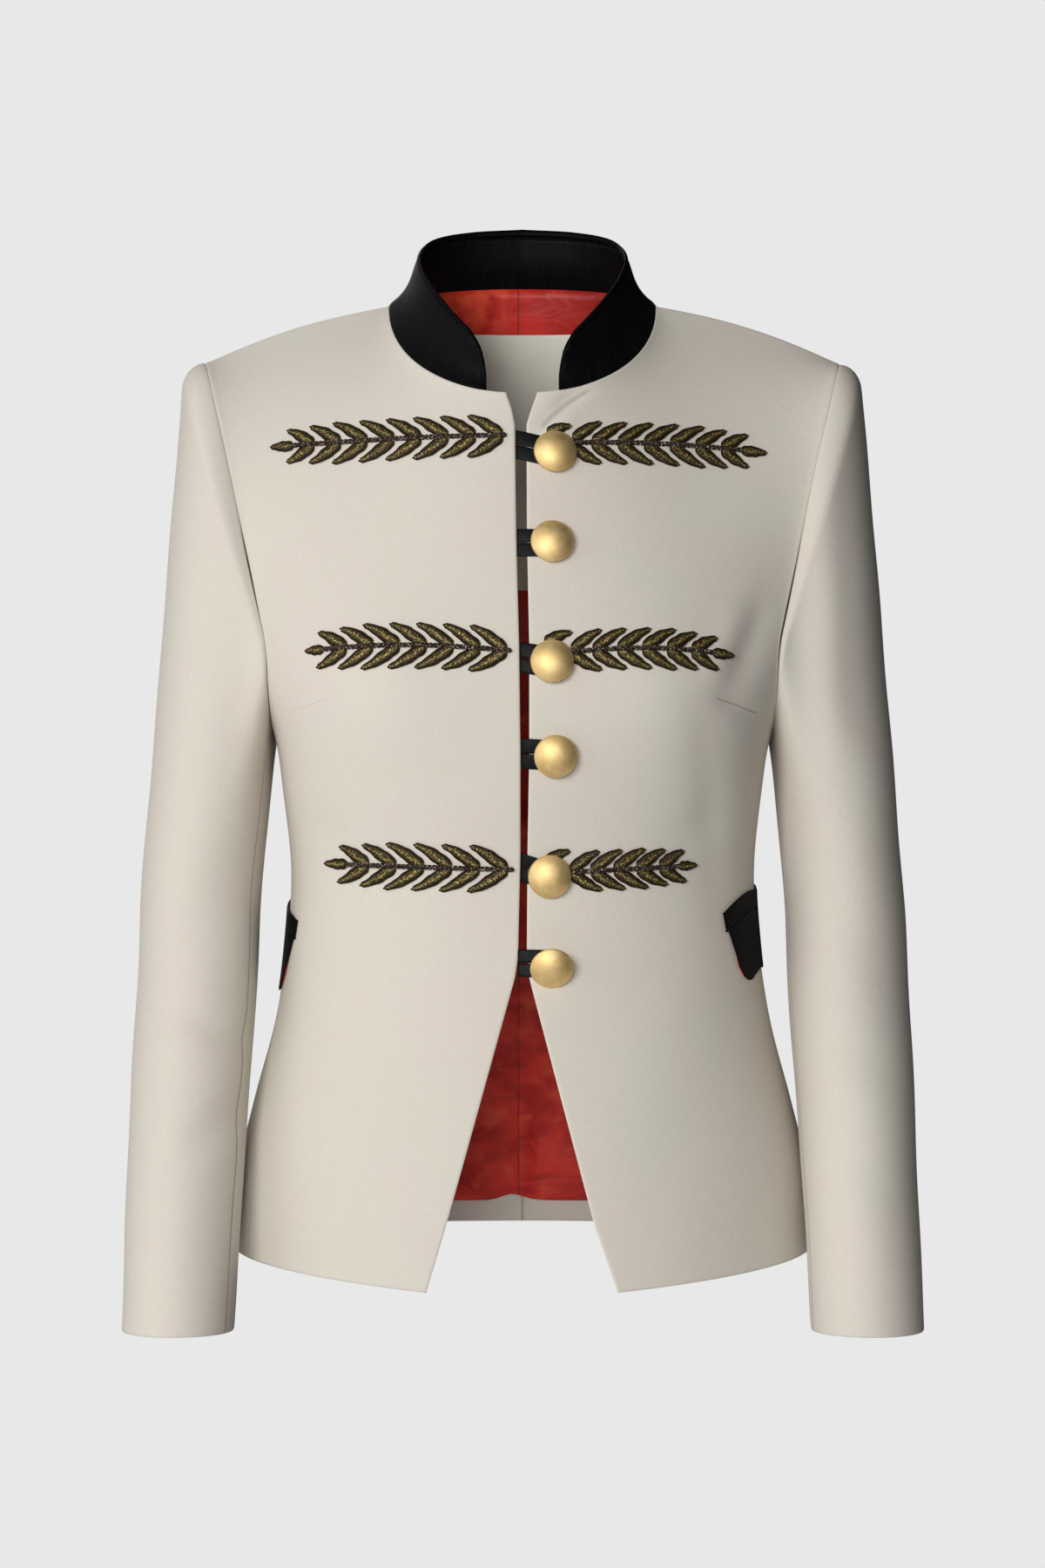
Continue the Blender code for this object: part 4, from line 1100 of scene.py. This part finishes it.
# The leaf of each left spray that starts behind a button: how far from the centre, how far
# above the stem, its length and degrees.
HIDDEN = {
    "upper": (0.0148, 0.006, 0.0144, 20),
    "middle": (0.013, 0.006, 0.017, 21),
    "lower": (0.0142, 0.0078, 0.0153, 20),
}
front_trees = {side: tree_of(piece) for side, piece in fronts.items()}
for row, side, start_z, tip_z, bow, length, start, first, last, pairs, end, tip in SPRAYS:
    leaves = []
    for i in range(pairs):
        base = first + (last - first) * i / (pairs - 1)
        hidden = max(start - base, 0.0)
        size = min(1.0, 0.78 + 0.12 * (pairs - 1 - i))
        at, short = base + hidden - start, length * size - hidden
        leaves.append((at, 0.0008 + hidden * 0.55, short * 1.03, LEAF_DEGREES))
        leaves.append((at, -0.0008 - hidden * 0.5, short * 1.07, -LEAF_DEGREES))
    leaves.append((end - start, 0.0, tip - end, 0))
    if side == LEFT:
        across, *rest = HIDDEN[row]
        leaves.append((across - start, *rest))
    word = "left" if side == LEFT else "right"
    name = f"laurel_{row}_{word}"
    stem = (start, start_z, tip, tip_z, bow)
    spray(f"{name}_applique", name, side, stem, leaves, end - start + 0.001)

# ---- Buttons ----
# Six brushed gold metal buttons, each a plain dome turned under at its edge, on a short
# shank sewn to the left front.
# Button across and up, its loop's height and full width, and how far it tilts down.
FASTENINGS = (
    (0.0193, -0.098, -0.0925, 0.0177, 0.0),
    (0.0176, -0.1527, -0.1526, 0.0166, 0.0),
    (0.0176, -0.2246, -0.2216, 0.0184, 0.0),
    (0.0197, -0.28, -0.2789, 0.018, 0.0),
    (0.0161, -0.352, -0.3468, 0.0172, 0.0),
    (0.0172, -0.4043, -0.404, 0.0164, 0.5),
)
TILT_LIFT, SEAT_REACH = 0.006, 0.008

brushed_gold, place, cut = finish("brushed_gold", Metallic=1.0)
tarnish = place.noise(140.0, 3.0, 0.6)
scratch = place.stretched(1.0, 1.0, 6.0).noise(520.0, 2.0, 0.6)
gold = tarnish.clamped(0.35, 0.7).blend((0.88, 0.64, 0.29), (0.96, 0.75, 0.4))
relief = (scratch + tarnish * 0.8).bump(0.0003, 0.3)
dress(gold, 0.5 + 0.12 * scratch + 0.1 * tarnish, relief)

# The turned profile: distance from the axis, then height off the cloth.
BUTTON_PROFILE = (
    (0.0, 0.0098),
    (0.003, 0.0096),
    (0.006, 0.0089),
    (0.0088, 0.0077),
    (0.0108, 0.0063),
    (0.012, 0.0053),
    (0.0127, 0.0046),
    (0.013, 0.004),
    (0.0128, 0.0034),
    (0.012, 0.0028),
    (0.01, 0.0026),
    (0.0014, 0.0026),
    (0.0012, 0.0022),
    (0.0012, 0.0003),
    (0.0, 0.0003),
)
for index, (x, z, _, _, tilt) in enumerate(FASTENINGS, 1):
    mesh = bmesh.new()
    lift = TILT_LIFT * tilt
    line = [mesh.verts.new((r, 0, h + lift * (h > 0.001))) for r, h in BUTTON_PROFILE]
    for low, high in zip(line, line[1:]):
        mesh.edges.new((low, high))
    turned = {"geom": mesh.verts[:] + mesh.edges[:], "cent": (0, 0, 0), "axis": (0, 0, 1)}
    bmesh.ops.spin(mesh, **turned, angle=math.tau, steps=48, use_merge=True)
    bmesh.ops.remove_doubles(mesh, verts=mesh.verts[:], dist=0.00001)
    bmesh.ops.recalc_face_normals(mesh, faces=mesh.faces[:])
    seat, right, above, left, below = (
        lying(front_trees[LEFT], x + a * SEAT_REACH, z + b * SEAT_REACH, 0.0)[0]
        for a, b in ((0, 0), (1, 0), (0, 1), (-1, 0), (0, -1))
    )
    way = (right - left).cross(above - below).normalized()
    if way.y > 0:
        way.negate()
    way = (way + Vector((0, 0, -tilt))).normalized()
    turn = way.to_track_quat("Z", "Y").to_matrix().to_4x4()
    bmesh.ops.transform(mesh, matrix=Matrix.Translation(seat) @ turn, verts=mesh.verts[:])
    piece = made(f"button_{index}_metal", mesh, brushed_gold)
    placed(piece, f"button_{index}")

# ---- Loops ----
# Flat ribbed black tape, doubled into a loop: it comes from under the right front's edge
# and goes round the button's shank, leaving a fine slit between its two runs.
LOOP_WALL, LOOP_SLIT = 0.0012, 0.0016
black_tape, place, cut = finish("black_tape", Specular_IOR_Level=0.15)
rib = cut.stretched(1500.0, 200.0, 1.0).noise(1.0)
black = rib.clamped(0.35, 0.75).blend((0.0025, 0.0025, 0.003), (0.009, 0.009, 0.01))
dress(black, 0.42 + 0.2 * rib, rib.bump(0.0004, 0.6))

for index, (x, z, height, width, _) in enumerate(FASTENINGS, 1):
    start = -edge_distance(RIGHT, height) + 0.0003
    edge = edge_distance(LEFT, height)
    slope = (z - height) / (x - start)
    reach, slit = width / 2, LOOP_SLIT / 2

    def tape_place(across, up, lift):
        """Level with the cloth at the edge it leaves, then up on to the other front."""
        point = lying(front_trees[LEFT], max(across, edge + 0.003), up, 0.0)[0]
        point.x = across
        raised = between(across, start, edge - 0.0004)
        point.y -= lift + 0.0004 * raised - (LOOP_WALL + 0.0003) * (1 - raised)
        return point

    stations = [(start + (x - 0.001 - start) * k / 12, 90) for k in range(13)]
    stations += [(x, turn) for turn in range(80, -81, -16)]
    stations += [(at, -90) for at, _ in stations[12::-1]]
    points = []
    for across, turn in stations:
        way = (cos(radians(turn)), sin(radians(turn)))
        inside = 0.0002 + slit * between(across, edge, x) ** 2
        points.append([])
        for k in range(9):
            out = inside + (reach - inside) * k / 8
            crown = 0.0004 * sin(pi * k / 8) ** 0.5 - 0.0004
            level = height + slope * (across - start) + out * way[1]
            points[-1].append(tape_place(across + out * way[0], level, LOOP_WALL + crown))
    grid = np.array(points), np.full((len(points), 9, 3), (0, -1, 0))
    node, size, cut = f"loop_{index}", (0.06, 0.01), (0.06, 0.008)
    sheet(node, "tape", grid, black_tape, 0.0009, size, cut, bevel=0)

# ---- Floor and light ----
# A plain pale floor well below the jacket and a plain pale ground all round. Soft light
# comes from the upper left of the front, with weaker light from the far left and behind.
FLOOR_Z, FLOOR_RADIUS = -1.25, 1.3
floor_finish, place, cut = finish("floor", Specular_IOR_Level=0.2)
place.noise(3.0).blend((0.79, 0.79, 0.79), (0.81, 0.81, 0.81)).into("Base Color")
(place.noise(3.0) * 0.1 + 0.8).into("Roughness")
mesh = bmesh.new()
bmesh.ops.create_circle(mesh, cap_ends=True, segments=64, radius=FLOOR_RADIUS)
bmesh.ops.translate(mesh, vec=(0, 0, FLOOR_Z), verts=mesh.verts[:])
floor = made("floor", mesh, floor_finish)

# Name, place, size in metres, watts and colour. All are turned to the jacket's middle.
JACKET_MIDDLE = Vector((0, 0, -0.28))
for name, spot, size, watts, colour in (
    ("key", (-1.4, -3.0, 0.5), 1.2, 51, (1.0, 0.985, 0.96)),
    ("side", (-2.9, -1.2, 0.3), 1.6, 10, (1.0, 0.985, 0.96)),
    ("front", (-0.3, -3.4, 0.0), 0.8, 36, (1.0, 0.99, 0.97)),
    ("behind", (-0.8, 2.8, 1.4), 1.8, 18, (1.0, 1.0, 1.0)),
):
    light_data = bpy.data.lights.new(name, "AREA")
    light_data.size = size
    light_data.energy = watts
    light_data.color = colour
    light = linked(name, light_data)
    light.location = spot
    aim = JACKET_MIDDLE - Vector(spot)
    light.rotation_euler = aim.to_track_quat("-Z", "Y").to_euler()

# The camera sees the pale ground. The jacket is lit by a dim one, brighter from the left.
world = bpy.data.worlds.new("pale ground")
world.use_nodes = True
tree = world.node_tree
ground = tree.nodes["Background"]
ground.inputs["Color"].default_value = (0.807, 0.807, 0.807, 1)
start = Shade(tree)
rightward = start.node("ShaderNodeTexCoord", output="Generated").part(0)
ambient = (0.14 - rightward * 0.3).maths("MAXIMUM", 0.02)
dim = start.node("ShaderNodeBackground", {"Color": (1, 1, 1, 1), "Strength": ambient})
seen = start.node("ShaderNodeLightPath", output="Is Camera Ray")
pale = Shade(tree, ground.outputs[0])
either = start.node("ShaderNodeMixShader", {0: seen, 1: dim, 2: pale})
tree.links.new(either.socket, tree.nodes["World Output"].inputs["Surface"])
bpy.context.scene.world = world
bpy.context.scene.view_settings.view_transform = "Standard"
